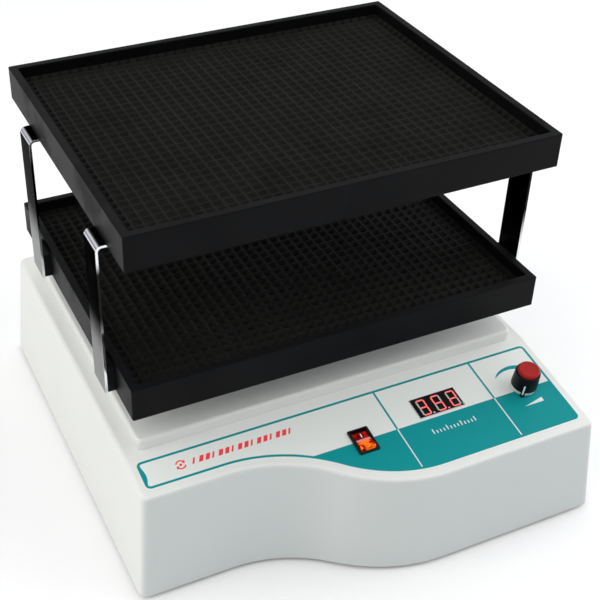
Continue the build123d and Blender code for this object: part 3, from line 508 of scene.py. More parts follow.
@dataclass(frozen=True)
class ChromePaintedReflections(Finish):
    """Chrome with painted reflections: a dark painted reflection on the flats, painted highlights on cut
    edges and at the bends.

    Towards the lower end of each leg the painted reflection lightens.
    """

    # Colour of the painted highlights, then of the lighter painted reflection low on the legs.
    clear: Colour = (0.82, 0.83, 0.86)
    painted_reflection_grey: Colour = (0.16, 0.16, 0.165)
    # Height bands: the painted bend highlight, the painted reflection and edge highlight low on the legs, the
    # painted edge highlight under the bend.
    bend: Place = (0.2655, 0.2675)
    lower: Place = (0.214, 0.176)
    edge_highlight_band: Place = (0.250, 0.262)

    def painted_highlight(self, tree: Tree, where: Socket) -> Socket:
        """Mask of the painted highlights on the cut edges and across the middle of the bend."""
        height = tree.height(where)
        normal = tree.facing()
        ends = tree.math("MAXIMUM", tree.band(height, *self.edge_highlight_band), tree.band(height, *self.lower))
        edge = tree.math("MULTIPLY", tree.band(tree.math("ABSOLUTE", normal.outputs[1]), 0.45, 0.8), ends)
        rise = normal.outputs[2]
        across = tree.math("MULTIPLY", tree.band(rise, 0.2, 0.45), tree.band(rise, 0.97, 0.8))
        return tree.math("MAXIMUM", edge, tree.math("MULTIPLY", tree.band(height, *self.bend), across))

    def base(self, tree: Tree, where: Socket) -> Socket:
        """Colour by height, a painted reflection, with the painted highlights laid over it."""
        height = tree.height(where)
        painted_low_reflection = tree.blend(tree.band(height, *self.lower), self.colour, self.painted_reflection_grey)
        return tree.blend(self.painted_highlight(tree, where), painted_low_reflection, self.clear)

    def rim(self, tree: Tree, where: Socket) -> object:
        """Low-angle tint, also painted reflection: nearly black on the flats, white under the painted
        highlights.
        """
        height = tree.height(where)
        painted_low_reflection = tree.blend(tree.band(height, *self.lower), (0.3, 0.3, 0.3), (0.8, 0.8, 0.8))
        return tree.blend(self.painted_highlight(tree, where), painted_low_reflection, (1.0, 1.0, 1.0))


@dataclass(frozen=True)
class FrontShadedMoulding(Finish):
    """Moulding whose front wall, below the rim, has painted shade: a little cooler and darker than the rest.
    """

    # Painted shade colour of the front wall.
    front: Colour = (0.58, 0.612, 0.606)
    under: Place = (0.1045, 0.099)

    def base(self, tree: Tree, where: Socket) -> Socket:
        """Own colour, giving way to the painted front shade as the face turns to the front."""
        normal = tree.facing()
        height = tree.height(where)
        front = tree.band(normal.outputs[1], -0.3, -0.95)
        share = tree.math("MULTIPLY", front, tree.band(height, *self.under))
        return tree.blend(share, super().base(tree, where), self.front)


@dataclass(frozen=True)
class Mottled(Finish):
    """Lit moulding whose lamp shows through in uneven patches; on the raised half these are partly painted
    reflections.
    """

    deep: Colour = (0.2, 0.006, 0.003)
    patch: float = 260.0

    def base(self, tree: Tree, where: Socket) -> Socket:
        """Colour that falls from the lamp's own to a deeper one by a noise."""
        return tree.blend(tree.band(tree.noise(where, self.patch, 2), 0.43, 0.58), self.colour, self.deep)


# Bright chrome whose dark surroundings are painted into a dark base colour, with painted highlights on edges
# and bends.
CHROME = ChromePaintedReflections(
    "smoked_chrome", (0.014, 0.014, 0.0135), 0.1, metallic=1.0, brush=Brush.Z, depth=0.0000012,
    smudge=0.07, scratch=0.12, specular=0.1,
)
HOUSING = FrontShadedMoulding(
    "housing_moulding", (0.79, 0.80, 0.775), 0.42, shade=0.012, grain=1400, depth=0.000012,
    smudge=0.05, scratch=0.04, dust=0.02,
)
FILM = Finish(
    "label_film", (0.79, 0.82, 0.79), 0.33, shade=0.01, grain=2600, depth=0.000006, coat=0.15,
    smudge=0.06,
)
TEAL = Finish("teal_ink", (0.0045, 0.285, 0.30), 0.4, shade=0.03, grain=2600, depth=0.000006, specular=0.1)
WHITE_INK = Finish("white_ink", (0.72, 0.78, 0.78), 0.35, shade=0.01, grain=2600, depth=0.000004)
RED_INK = Finish("red_ink", (0.95, 0.05, 0.06), 0.35, shade=0.02, grain=2600, depth=0.000004)
TRAY = Finish(
    "tray_moulding", (0.0042, 0.0044, 0.0052), 0.45, shade=0.2, grain=700, depth=0.00003, smudge=0.16,
    scratch=0.1, dust=0.05, dust_colour=(0.035, 0.034, 0.033), specular=0.07,
)
MAT = Finish(
    "waffle_rubber", (0.0088, 0.009, 0.0078), 0.5, shade=0.25, grain=1200, depth=0.00003, smudge=0.15,
    dust=0.12, dust_colour=(0.03, 0.03, 0.028), specular=0.07,
)
RUBBER = Finish(
    "foot_rubber", (0.008, 0.008, 0.009), 0.7, specular=0.2, shade=0.2, grain=1500, depth=0.00004,
    dust=0.1,
)
BLOCK = Finish(
    "spacer_plastic", (0.004, 0.004, 0.0045), 0.45, specular=0.1, shade=0.15, grain=1200,
    depth=0.00002, dust=0.03,
)
ZINC = Finish(
    "zinc_plate", (0.55, 0.56, 0.57), 0.3, metallic=1.0, shade=0.08, grain=420, depth=0.00001,
    smudge=0.2,
)
SCREW = Finish(
    "screw_steel", (0.42, 0.43, 0.45), 0.26, metallic=1.0, shade=0.12, brush=Brush.X, depth=0.000004,
    smudge=0.12,
)
GROUND = Finish(
    "ground_steel", (0.6, 0.6, 0.62), 0.2, metallic=1.0, shade=0.05, brush=Brush.X, depth=0.000003,
    smudge=0.12,
)
CAST = Finish(
    "machined_aluminium", (0.66, 0.67, 0.69), 0.34, metallic=1.0, shade=0.06, brush=Brush.Y,
    depth=0.000004, smudge=0.12,
)
LAMINATE = Finish(
    "core_laminations", (0.14, 0.14, 0.15), 0.4, metallic=1.0, shade=0.15, brush=Brush.X,
    depth=0.00004,
)
TAPE = Finish("winding_tape", (0.55, 0.38, 0.06), 0.4, shade=0.1, grain=500, depth=0.00005, coat=0.2)
MOTOR = Finish("motor_paint", (0.02, 0.021, 0.024), 0.4, shade=0.1, grain=900, depth=0.00004, coat=0.2)
BEZEL = Finish(
    "switch_black", (0.006, 0.006, 0.008), 0.35, specular=0.25, shade=0.1, grain=1800, depth=0.00001,
    coat=0.1, dust=0.03,
)
BOARD = Finish("board_green", (0.012, 0.12, 0.04), 0.3, shade=0.15, grain=700, depth=0.00003, coat=0.4)
PARTS = Finish("component_black", (0.015, 0.015, 0.016), 0.5, shade=0.2, grain=1200, depth=0.00003)
KNOB = Finish(
    "knob_black", (0.004, 0.004, 0.005), 0.36, specular=0.15, shade=0.1, grain=1600, depth=0.000015,
    smudge=0.1,
)
KNOB_RED = Finish(
    "knob_red", (0.40, 0.014, 0.012), 0.4, specular=0.15, shade=0.05, grain=1200, depth=0.00003,
    smudge=0.06,
)
KNOB_SILVER = Finish(
    "knob_silver", (0.88, 0.88, 0.87), 0.28, metallic=0.4, shade=0.04, brush=Brush.X, depth=0.000002,
)
RED_DARK = Mottled(
    "rocker_dark_red", (0.40, 0.010, 0.005), 0.2, grain=600, depth=0.00003, glow=0.2, specular=0.2,
    deep=(0.12, 0.002, 0.001), patch=190.0,
)
# Pale pink, faintly glowing: a painted highlight along the rocker's middle ridge.
PAINTED_RIDGE_HIGHLIGHT = Finish("rocker_ridge_pink", (0.72, 0.22, 0.18), 0.25, grain=600, depth=0.00002, glow=0.25)
# Raised half: its glow is partly the rocker's lamp, partly painted reflections in its brighter patches.
RED_GLOW = Mottled(
    "rocker_glow", (1.0, 0.15, 0.004), 0.2, grain=600, depth=0.00003, glow=0.6, specular=0.2,
    deep=(0.17, 0.003, 0.001), patch=210.0,
)
BRASS = Finish(
    "plated_brass", (0.62, 0.46, 0.2), 0.22, metallic=1.0, shade=0.08, brush=Brush.Y, depth=0.000003,
)
GLASS = Finish(
    "fuse_glass", (0.92, 0.95, 0.95), 0.03, shade=0.0, depth=0.000001, transmission=1.0, smudge=0.0,
)
WINDOW = Finish(
    "display_window", (0.007, 0.006, 0.007), 0.25, shade=0.05, grain=2000, depth=0.000002,
    specular=0.25,
)
SURROUND = Finish("display_edge", (0.62, 0.63, 0.62), 0.35, shade=0.02, grain=2000, depth=0.000004)
LIT = Finish("segment_lit", (0.95, 0.16, 0.15), 0.3, shade=0.02, glow=0.35)
UNLIT = Finish("segment_unlit", (0.50, 0.49, 0.46), 0.35, shade=0.03, grain=2000, depth=0.000003)
FLOOR = Finish(
    "studio_floor", (0.94, 0.94, 0.94), 0.8, specular=0.1, shade=0.0, grain=60, depth=0.0, smudge=0.0,
    scratch=0.0,
)

NODE_FINISHES = {
    "housing_shell": HOUSING, "panel_label": FILM, "base_plate": ZINC, "motor_bracket": ZINC,
    "carrier_plate": ZINC, "support_plate": ZINC, "switch_terminals": BRASS, "bearing_hubs": CAST,
    "pin_bearing_seats": CAST, "driven_pulley": CAST, "motor_pulley": CAST, "chassis_plate": CAST,
    "chassis_pillars": CAST, "shaft_bearings": GROUND, "pin_bearings": GROUND, "drive_shaft": GROUND,
    "drive_crank": GROUND, "idler_crank_left": GROUND, "idler_crank_right": GROUND,
    "idler_crank_back": GROUND, "motor_shaft": GROUND, "potentiometer_shaft": GROUND,
    "counterweight": CAST, "chassis_screws": SCREW, "cover_screws": SCREW, "platform_screws": SCREW,
    "weight_screws": SCREW, "foot_nuts": SCREW, "flange_nuts": SCREW, "potentiometer_nut": SCREW,
    "rubber_feet": RUBBER, "hub_seals": RUBBER, "drive_belt": RUBBER, "bracket_spacers": BLOCK,
    "motor": MOTOR, "switch_body": BEZEL, "power_inlet": BEZEL, "fuse_drawer": BEZEL,
    "control_board": BOARD, "display_board": BOARD, "board_components": PARTS,
    "board_standoffs": PARTS, "potentiometer": PARTS, "transformer_core": LAMINATE,
    "transformer_winding": TAPE, "inlet_pins": BRASS, "fuse": GLASS, "lower_tray": TRAY, "upper_tray": TRAY,
}


# ------------------------------------------------------------------ panel
def joint(name: str) -> dict:
    """The record's entry for a joint."""
    return next(entry for entry in frame["joints"] if entry["name"] == name)


@dataclass
class Panel:
    """The sloping control panel: where it lies, and the outline of its label.

    Places on it are (x, s, h): s runs down the slope from the break line and
    h stands up from the label's face.
    """

    break_y: float = -92 * MM
    rim_z: float = 103 * MM
    film: float = 0.3 * MM
    front_left: float = -132 * MM
    wave_drop: float = 56 * MM
    wave_x0: float = -109.5 * MM
    wave_run: float = 155 * MM
    margin: float = 7.7 * MM
    left: float = -169.7 * MM
    right: float = 169.0 * MM
    top: float = 7.9 * MM
    corner: float = 4.2 * MM
    line: float = 2.0 * MM
    colour_break: float = 48.4 * MM
    lift: float = 0.03 * MM

    def __post_init__(self) -> None:
        """Work out the axes from the knob's joint."""
        self.normal = np.array(joint("speed_knob_turn")["axis"], float)
        self.normal /= np.linalg.norm(self.normal)
        self.down = np.array([0.0, -self.normal[2], self.normal[1]])
        self.origin = np.array([0.0, self.break_y, self.rim_z]) + self.normal * self.film
        self.bend = atan(self.wave_drop / self.wave_run) * 2
        self.wave_r = self.wave_run / (2 * sin(self.bend))

    def place(self, local: Points) -> Points:
        """Points of the panel's (x, s, h) carried into the frame."""
        x, s, h = local[..., 0:1], local[..., 1:2], local[..., 2:3]
        return self.origin + x * np.array([1.0, 0.0, 0.0]) + s * self.down + h * self.normal

    def put(self, surface: Surface) -> Surface:
        """A surface in (x, s, h) carried into the frame."""
        return Surface(self.place(surface.points), surface.faces)

    def spot(self, name: str) -> Place:
        """Where a joint stands on the panel."""
        offset = np.array(joint(name)["pos_m"], float) - self.origin
        return float(offset[0]), float(offset @ self.down)

    def front(self, x: Points, inset: float) -> Points:
        """Distance s of the line that runs at an inset inside the front edge.

        Straight, then a hollow arc about the wave's start, then a crown arc
        about its end, then straight: y = c + sqrt(r^2 - (x - x0)^2).
        """
        front_right = self.front_left - self.wave_drop
        end = self.wave_x0 + self.wave_run
        hollow_r, crown_r = self.wave_r + inset, self.wave_r - inset
        middle = self.wave_x0 + hollow_r * sin(self.bend)
        from_start = np.clip(x - self.wave_x0, 0, hollow_r)
        from_end = np.clip(end - x, 0, crown_r)
        hollow = self.front_left - self.wave_r + np.sqrt(hollow_r**2 - from_start**2)
        crown = front_right + self.wave_r - np.sqrt(crown_r**2 - from_end**2)
        y = np.where(x < middle, hollow, crown)
        return (self.break_y - y) / self.normal[2]

    def loop(self, inset: float, radius: float) -> Points:
        """Closed line at an inset from the print's outer edge, corners rounded, as (x, s)."""
        left, right, top = self.left + inset, self.right - inset, self.top + inset
        low_left = float(self.front(np.array([left]), self.margin + inset)[0])
        low_right = float(self.front(np.array([right]), self.margin + inset)[0])
        run = np.linspace(left + radius, right - radius, 120)
        rise = np.linspace(low_left - radius, top + radius, 42)[1:-1]
        return np.vstack([
            arc((left + radius, top + radius), radius, 180, 270, 9),
            arc((right - radius, top + radius), radius, 270, 360, 9),
            arc((right - radius, low_right - radius), radius, 0, 90, 9),
            np.column_stack([run, self.front(run, self.margin + inset)])[::-1],
            arc((left + radius, low_left - radius), radius, 90, 180, 9),
            np.column_stack([np.full(len(rise), left), rise]),
        ])


@dataclass
class LabelPrint:
    """What is printed on the label: outline, coloured field, rules and signs."""

    panel: Panel
    rules: tuple[float, ...] = (27.6 * MM, 115.5 * MM)
    rule_widths: Place = (1.6 * MM, 1.0 * MM)
    swell: float = 1.75 * MM
    switch_half: float = 8.2 * MM
    switch_end: float = 59.0 * MM
    sweep_turn: Place = (225, 85)
    sweep_width: float = 3.5 * MM
    sweep_reach: float = 22.4 * MM
    orbit_at: Place = (-139 * MM, 20.5 * MM)
    orbit_ring: Place = (3.0 * MM, 4.1 * MM)
    orbit_dot: float = 1.1 * MM
    arrow_head: tuple[Place, ...] = ((1.7 * MM, 118), (5.4 * MM, 118), (3.55 * MM, 152))
    bars: int = 16
    bar_start: float = -129.5 * MM
    bar_pitch: float = 5.2 * MM
    bar_rows: Place = (17.8 * MM, 23.0 * MM)
    bar_lean: float = 1.3 * MM
    bar_widths: Place = (1.5 * MM, 3.3 * MM)
    ticks: int = 13
    tick_start: float = 52.5 * MM
    tick_pitch: float = 3.1 * MM
    tick_foot: float = 62.6 * MM
    tick_heights: Place = (4.6 * MM, 2.8 * MM)
    tick_half: float = 0.5 * MM
    wedge: tuple[Place, ...] = ((134 * MM, 64.5 * MM), (152 * MM, 64.5 * MM), (152 * MM, 60.6 * MM))

    def flat(self, name: str, surface: Surface, finish: Finish) -> None:
        """Lay one printed shape on the label."""
        make(name, self.panel.put(surface), finish, "base")

    def strip(self, first: Points, second: Points, lift: float) -> Surface:
        """Ribbon between two lines of equal count, at a height over the film."""
        rows = np.stack([np.column_stack([edge, np.full(len(edge), lift)]) for edge in (first, second)])
        return grid(rows)

    def outline(self) -> None:
        """Rounded line round the label, swelling along its left end."""
        panel = self.panel
        outer = panel.loop(0, panel.corner)
        inner = panel.loop(panel.line, panel.corner - panel.line)
        low, high = inner[:, 1].min(), panel.front(np.array([panel.left]), panel.margin)[0]
        share = np.clip((inner[:, 1] - low) / (high - low), 0, 1)
        at_left = inner[:, 0] < panel.left + panel.line + 0.4 * MM
        belly = np.sin(pi * np.clip(share / 0.84, 0, 1) ** 1.25) ** 1.2
        inner[:, 0] += np.where(at_left, self.swell * belly, 0)
        outer, inner = (np.vstack([line, line[:1]]) for line in (outer, inner))
        self.flat("label_outline", self.strip(outer, inner, 2 * panel.lift), TEAL)

    def field(self) -> None:
        """Coloured field from the colour break down to the outline, round the switch."""
        panel = self.panel
        switch_x = panel.spot("rocker_tilt")[0]
        edge = panel.margin + panel.line / 2
        search = np.linspace(panel.wave_x0, switch_x, 400)
        tip = float(search[np.argmax(panel.front(search, edge) > panel.colour_break)])
        spans = [
            (tip, switch_x - self.switch_half, panel.colour_break),
            (switch_x - self.switch_half, switch_x + self.switch_half, self.switch_end),
            (switch_x + self.switch_half, panel.right - panel.line / 2, panel.colour_break),
        ]
        shapes = []
        for start, end, upper in spans:
            x = np.linspace(start, end, 90)
            lower = panel.front(x, edge)
            past = np.clip(x - (panel.right - panel.corner), 0, panel.corner)
            lower = lower - panel.corner + np.sqrt(panel.corner**2 - past**2)
            shapes.append(self.strip(
                np.column_stack([x, np.full(len(x), upper)]), np.column_stack([x, lower]), panel.lift,
            ))
        self.flat("label_field", joined(shapes), TEAL)

    def rule_lines(self) -> None:
        """Upright rules: teal over the pale part, white over the coloured field."""
        panel = self.panel
        for finish, name, width in zip(
            (TEAL, WHITE_INK), ("label_rules_upper", "label_rules_lower"), self.rule_widths,
        ):
            shapes = []
            for x in self.rules:
                low = float(panel.front(np.array([x]), panel.margin + panel.line)[0])
                ends = (panel.top, panel.colour_break) if finish is TEAL else (panel.colour_break, low)
                sides = [np.array([(x + dx, s) for s in ends]) for dx in (-width / 2, width / 2)]
                shapes.append(self.strip(sides[0], sides[1], 3 * panel.lift))
            self.flat(name, joined(shapes), finish)

    def sweep_mark(self) -> None:
        """Tapered arc over the knob: its width grows as the share of its length to the 0.55."""
        centre = self.panel.spot("speed_knob_turn")
        share = np.linspace(0, 1, 60)
        turn = np.radians(self.sweep_turn[0] + self.sweep_turn[1] * share)
        width = self.sweep_width * share**0.55
        ring = np.stack([np.cos(turn), np.sin(turn)], -1)
        inner = np.array(centre) + (self.sweep_reach - width)[:, None] * ring
        outer = np.array(centre) + (self.sweep_reach + width * 0.3)[:, None] * ring
        self.flat("label_sweep", self.strip(inner, outer, 2 * self.panel.lift), TEAL)

    def red_sign(self) -> None:
        """Orbit ring of two arrows round a dot, with a row of leaning bars beside it."""
        lift = 2 * self.panel.lift
        shapes = []
        for start in (20, 200):
            inner, outer = (arc(self.orbit_at, r, start, start + 120, 24) for r in self.orbit_ring)
            head = np.array([
                arc(self.orbit_at, r, start + turn, start + turn, 1)[0] for r, turn in self.arrow_head
            ])
            shapes += [self.strip(inner, outer, lift), flat_face(head, lift)]
        shapes.append(flat_face(arc(self.orbit_at, self.orbit_dot, 0, 342, 20), lift))
        low, high = self.bar_rows
        for i in range(self.bars):
            start = self.bar_start + self.bar_pitch * i
            width = self.bar_widths[i % 3 > 0]
            lean = self.bar_lean
            edges = [np.array([(x + lean, low), (x - lean, high)]) for x in (start, start + width)]
            shapes.append(self.strip(edges[0], edges[1], lift))
        self.flat("label_red_sign", joined(shapes), RED_INK)

    def white_signs(self) -> None:
        """Row of ticks under the display and a wedge under the knob."""
        lift, half = 2 * self.panel.lift, self.tick_half
        shapes = []
        for i in range(self.ticks):
            x = self.tick_start + self.tick_pitch * i
            high = self.tick_foot - self.tick_heights[i % 4 > 0]
            sides = [np.array([(at, high), (at, self.tick_foot)]) for at in (x - half, x + half)]
            shapes.append(self.strip(sides[0], sides[1], lift))
        shapes.append(flat_face(np.array(self.wedge), lift))
        self.flat("label_white_signs", joined(shapes), WHITE_INK)

    def build(self) -> None:
        """Print everything on the label."""
        self.outline()
        self.field()
        self.rule_lines()
        self.sweep_mark()
        self.red_sign()
        self.white_signs()


@dataclass
class Display:
    """Three-digit speed display: pale edge, dark window and seven-segment digits."""

    panel: Panel
    centre: Place = (69.8 * MM, 36.4 * MM)
    size: Place = (40.8 * MM, 19.4 * MM)
    digits: tuple[str, ...] = ("abcdg", "acdfg.", "abdeg")
    pitch: float = 13.4 * MM
    digit_w: float = 7.7 * MM
    digit_h: float = 15.6 * MM
    stroke: float = 1.32 * MM
    face: float = 0.35 * MM
    bar_rise: float = 0.08 * MM
    point_r: float = 0.85 * MM
    shift: float = 1.0 * MM
    rim: float = 0.45 * MM
    depth: float = 8 * MM

    def segment(self, start: Place, end: Place) -> Surface:
        """One bar with pointed ends, from start to end, standing a little off the window."""
        a, b = np.array(start), np.array(end)
        along = (b - a) / np.linalg.norm(b - a)
        across = np.array([-along[1], along[0]]) * self.stroke / 2
        tip = along * self.stroke * 0.3
        gap = along * 0.12 * MM
        a, b = a + gap, b - gap
        outline = np.array([a, a + tip + across, b - tip + across, b, b - tip - across, a + tip - across])
        return prism(outline, self.face, self.face + self.bar_rise)

    def digit(self, x: float, lit: str) -> tuple[list[Surface], list[Surface]]:
        """The lit and the unlit bars of one digit.

        Args:
            x: middle of the digit.
            lit: letters of the bars that glow, with a dot for the point.

        Returns:
            Lists of lit and unlit surfaces.
        """
        middle = self.centre[1] + 0.6 * MM
        across, up = (self.digit_w - self.stroke) / 2, (self.digit_h - self.stroke) / 2
        left, right, top, low = x - across, x + across, middle - up, middle + up
        bars = {
            "a": ((left, top), (right, top)), "b": ((right, top), (right, middle)),
            "c": ((right, middle), (right, low)), "d": ((left, low), (right, low)),
            "e": ((left, middle), (left, low)), "f": ((left, top), (left, middle)),
            "g": ((left, middle), (right, middle)),
        }
        point = arc((x + self.pitch * 0.42, low + 0.1 * MM), self.point_r, 0, 345, 20)
        shapes = {key: self.segment(*ends) for key, ends in bars.items()}
        shapes["."] = prism(point, self.face, self.face + self.bar_rise)
        return (
            [shape for key, shape in shapes.items() if key in lit],
            [shape for key, shape in shapes.items() if key not in lit],
        )

    def build(self) -> None:
        """Make the edge, the window and all the bars, in place of the plain module."""
        panel = self.panel
        outline = rounded_rectangle(self.centre, self.size, 0.3 * MM)
        inside = (self.size[0] - 2 * self.rim, self.size[1] - 2 * self.rim)
        window = rounded_rectangle(self.centre, inside, 0.2 * MM)
        case = prism(outline, -self.depth, self.face - 0.05 * MM, 0.1 * MM)
        edge = make("display_edge", panel.put(case), SURROUND, "base")
        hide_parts("display_module")
        make("display_window", panel.put(prism(window, 0.0, self.face)), WINDOW, "base")
        lit, unlit = [], []
        for i, letters in enumerate(self.digits):
            on, off = self.digit(self.centre[0] + (i - 1) * self.pitch + self.shift, letters)
            lit += on
            unlit += off
        for name, shapes, finish in (("display_lit", lit, LIT), ("display_unlit", unlit, UNLIT)):
            make(name, panel.put(joined(shapes)), finish, "base")


@dataclass
class SpeedKnob:
    """Turned knob on the panel: silver foot ring, black body with a pointer, red cap."""

    panel: Panel
    radius: float = 10.5 * MM
    top_radius: float = 9.9 * MM
    ring_radius: float = 9.9 * MM
    foot: float = 0.8 * MM
    ring: float = 4.0 * MM
    body: float = 14.2 * MM
    cap_radius: float = 8.5 * MM
    cap: float = 3.2 * MM
    bore: float = 7.2 * MM
    ease: float = 0.7 * MM
    cap_ease: float = 1.3 * MM
    nib_turn: float = -40.0

    def turned(self, name: str, profile: list[Place], finish: Finish, node: str) -> None:
        """A lathe shape on the knob's axis, in place of a CAD node."""
        shape = lathe(profile, self.panel.spot("speed_knob_turn"), 96)
        piece = make(name, self.panel.put(shape), finish, "speed_knob", crisp=50)
        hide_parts(node)

    def build(self) -> None:
        """Make the knob's three turned parts and its pointer."""
        base = self.foot + self.ring
        high = base + self.body
        top = high + self.cap
        foot = rounding(self.ring_radius, self.foot + self.ease, self.ease, -pi / 2, 0, 6)
        inside = [(self.bore, base), (self.bore, self.foot)]
        ring = [(self.bore, self.foot), *foot, (self.ring_radius, base), *inside]
        self.turned("knob_foot_ring", ring, KNOB_SILVER, "knob_ring")
        side = [
            (self.radius + (self.top_radius - self.radius) * t**1.2, base + (self.body - self.ease) * t)
            for t in np.linspace(0, 1, 8)
        ]
        lip = rounding(self.top_radius, high - self.ease, self.ease, 0.2, pi / 2, 6)
        floor = high - 0.6 * MM
        well = [(self.cap_radius + 0.2 * MM, high), (self.cap_radius + 0.15 * MM, floor), (0, floor)]
        under = [(0, base + 0.1 * MM), (self.radius - 0.3 * MM, base + 0.1 * MM)]
        self.turned("knob_grip", [*under, *side, *lip, *well], KNOB, "knob_body")
        shoulder = rounding(self.cap_radius, top - self.cap_ease, self.cap_ease, 0, pi / 2, 7)
        inner = self.cap_radius - 1.6 * MM
        face = [(inner, top - 0.15 * MM), (inner / 2, top - 0.05 * MM), (0, top)]
        cap = [(0, high - 0.5 * MM), (self.cap_radius, high - 0.5 * MM), *shoulder, *face]
        self.turned("knob_cap_top", cap, KNOB_RED, "knob_cap")
        self.pointer()

    def pointer(self) -> None:
        """Pointer nib down the front, with its white line, both tapering a little to the top."""
        centre = np.array(self.panel.spot("speed_knob_turn"))
        turn = radians(90 - self.nib_turn)
        out = np.array([cos(turn), sin(turn)])
        across = np.array([-out[1], out[0]])
        for name, half, near, far, low, high, finish in (
            ("knob_pointer", 1.55, 9.3, 11.5, 0.9, 17.2, KNOB),
            ("knob_pointer_line", 0.62, 9.5, 11.62, 3.6, 14.8, WHITE_INK),
        ):
            corners = [(near, -half), (far, -half), (far, half), (near, half)]
            outline = np.array([centre + r * MM * out + w * MM * across for r, w in corners])
            ends = [(low, 1.0), (high - 2.0, 0.985), (high, 0.95)]
            rings = np.stack([
                np.column_stack([centre + (outline - centre) * share, np.full(4, z * MM)])
                for z, share in ends
            ])
            shape = grid(rings.transpose(1, 0, 2), wrap_rows=True)
            shape.faces += [(2, 5, 8, 11), (9, 6, 3, 0)]
            make(name, self.panel.put(shape), finish, "speed_knob")


@dataclass
class Rocker:
    """Lit power rocker: dark red half pressed in, glowing half standing up."""

    panel: Panel
    width: float = 12.4 * MM
    tilt: float = 9.0
    reach: float = 8.2 * MM
    pivot: float = -1.8 * MM
    depth: float = 3.0 * MM
    edge: float = 0.35 * MM
    steps: int = 12

    def half(self, sign: int) -> Surface:
        """One half of the rocker, its section carried from the middle to one end.

        At the share t of the way the crown is 3.2 + 1.5 t^1.5 - 1.2 t^8 less
        0.35 exp(-36 t^2) mm over the pivot, and the tilt shears it upwards.

        Args:
            sign: 1 for the front half, -1 for the back one.

        Returns:
            The surface in the panel's axes.
        """
        x, s = self.panel.spot("rocker_tilt")
        rest = radians(self.tilt)
        share = np.linspace(0, 1, self.steps)
        along = share * self.reach * sign
        rise = 3.2 + 1.5 * share**1.5 - 1.2 * share**8 - 0.35 * np.exp(-(share * 6) ** 2)
        crown = self.pivot + rise * MM
        skirt = np.full(self.steps, self.pivot - self.depth)
        section = (
            (-1, skirt), (-1, crown - self.edge), (-0.94, crown),
            (0.94, crown), (1, crown - self.edge), (1, skirt),
        )
        surface = grid(np.stack([
            np.column_stack([
                np.full(self.steps, x + self.width / 2 * side), s + along * cos(rest), z + along * sin(rest),
            ])
            for side, z in section
        ]))
        for column in (0, self.steps - 1):
            surface.faces.append(tuple(row * self.steps + column for row in range(len(section))))
        return surface

    def mark(self) -> Surface:
        """The stroke that means on, moulded into the pressed half."""
        x, s = self.panel.spot("rocker_tilt")
        shape = prism(rounded_rectangle((x, s - 4.3 * MM), (0.9 * MM, 3.4 * MM), 0.3 * MM), 0, 0.3 * MM)
        away = shape.points[:, 1] - s
        share = np.abs(away) / self.reach
        shape.points[:, 2] += self.pivot + (3.1 + 1.5 * share**1.5) * MM + away * sin(radians(self.tilt))
        return shape

    def ridge(self) -> Surface:
        """Pale strip across the middle, where the two halves meet: a painted highlight on the ridge."""
        x, s = self.panel.spot("rocker_tilt")
        outline = rounded_rectangle((x, s), (self.width * 0.94, 2.4 * MM), 0.4 * MM)
        shape = prism(outline, self.pivot + 2.6 * MM, self.pivot + 3.3 * MM)
        shape.points[:, 2] += (shape.points[:, 1] - s) * sin(radians(self.tilt))
        return shape

    def build(self) -> None:
        """Replace the plain rocker with two halves, a sign and a painted highlight on the ridge."""
        pieces = [
            make(name, self.panel.put(shape), finish, "power_rocker")
            for name, shape, finish in (
                ("rocker_back", self.half(-1), RED_DARK), ("rocker_mark", self.mark(), WHITE_INK),
                ("rocker_front", self.half(1), RED_GLOW), ("rocker_ridge", self.ridge(), PAINTED_RIDGE_HIGHLIGHT),
            )
        ]
        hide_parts("rocker")


# ------------------------------------------------------------------ trays
@dataclass
class Waffle:
    """Rubber mat of small square pits between thin crossing ridges."""

    node: str
    columns: int = 39
    rows: int = 31
    depth: float = 3.1 * MM

    def build(self) -> None:
        """Work out the relief as one height field and close it below.

        Along each axis the wall height w(u) falls from 1 on a ridge to 0 in
        the middle of a pit; the relief is the larger of the two axes' walls.
        """
        low, high = (np.array(corner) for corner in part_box(self.node))
        stops = np.array([0.0, 0.075, 0.15, 0.30, 0.5, 0.70, 0.85, 0.925])
        wall = np.array([1.0, 0.96, 0.55, 0.16, 0.0, 0.16, 0.55, 0.96])
        axes, walls = [], []
        for count, start, end in ((self.columns, low[0], high[0]), (self.rows, low[1], high[1])):
            place = (np.arange(count)[:, None] + stops[None]).ravel()
            axes.append(start + (end - start) * np.append(place, count) / count)
            walls.append(np.append(np.tile(wall, count), 1.0))
        x, y = np.meshgrid(axes[0], axes[1], indexing="ij")
        height = np.maximum(walls[0][:, None], walls[1][None, :])
        z = high[2] - self.depth * (1 - height)
        top = grid(np.stack([x, y, z], -1))
        nx, ny = len(axes[0]), len(axes[1])
        ring = [i * ny for i in range(nx)] + [(nx - 1) * ny + j for j in range(1, ny)]
        ring += [i * ny + ny - 1 for i in range(nx - 2, -1, -1)] + [j for j in range(ny - 2, 0, -1)]
        border = top.points[ring].copy()
        border[:, 2] = low[2]
        first, count = len(top.points), len(ring)
        top.points = np.vstack([top.points, border])
        top.faces += [
            (ring[k], first + k, first + (k + 1) % count, ring[(k + 1) % count]) for k in range(count)
        ]
        top.faces.append(tuple(first + k for k in reversed(range(count))))
        piece = make(f"{self.node}_waffle", top, MAT, "platform", crisp=60)
        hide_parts(self.node)


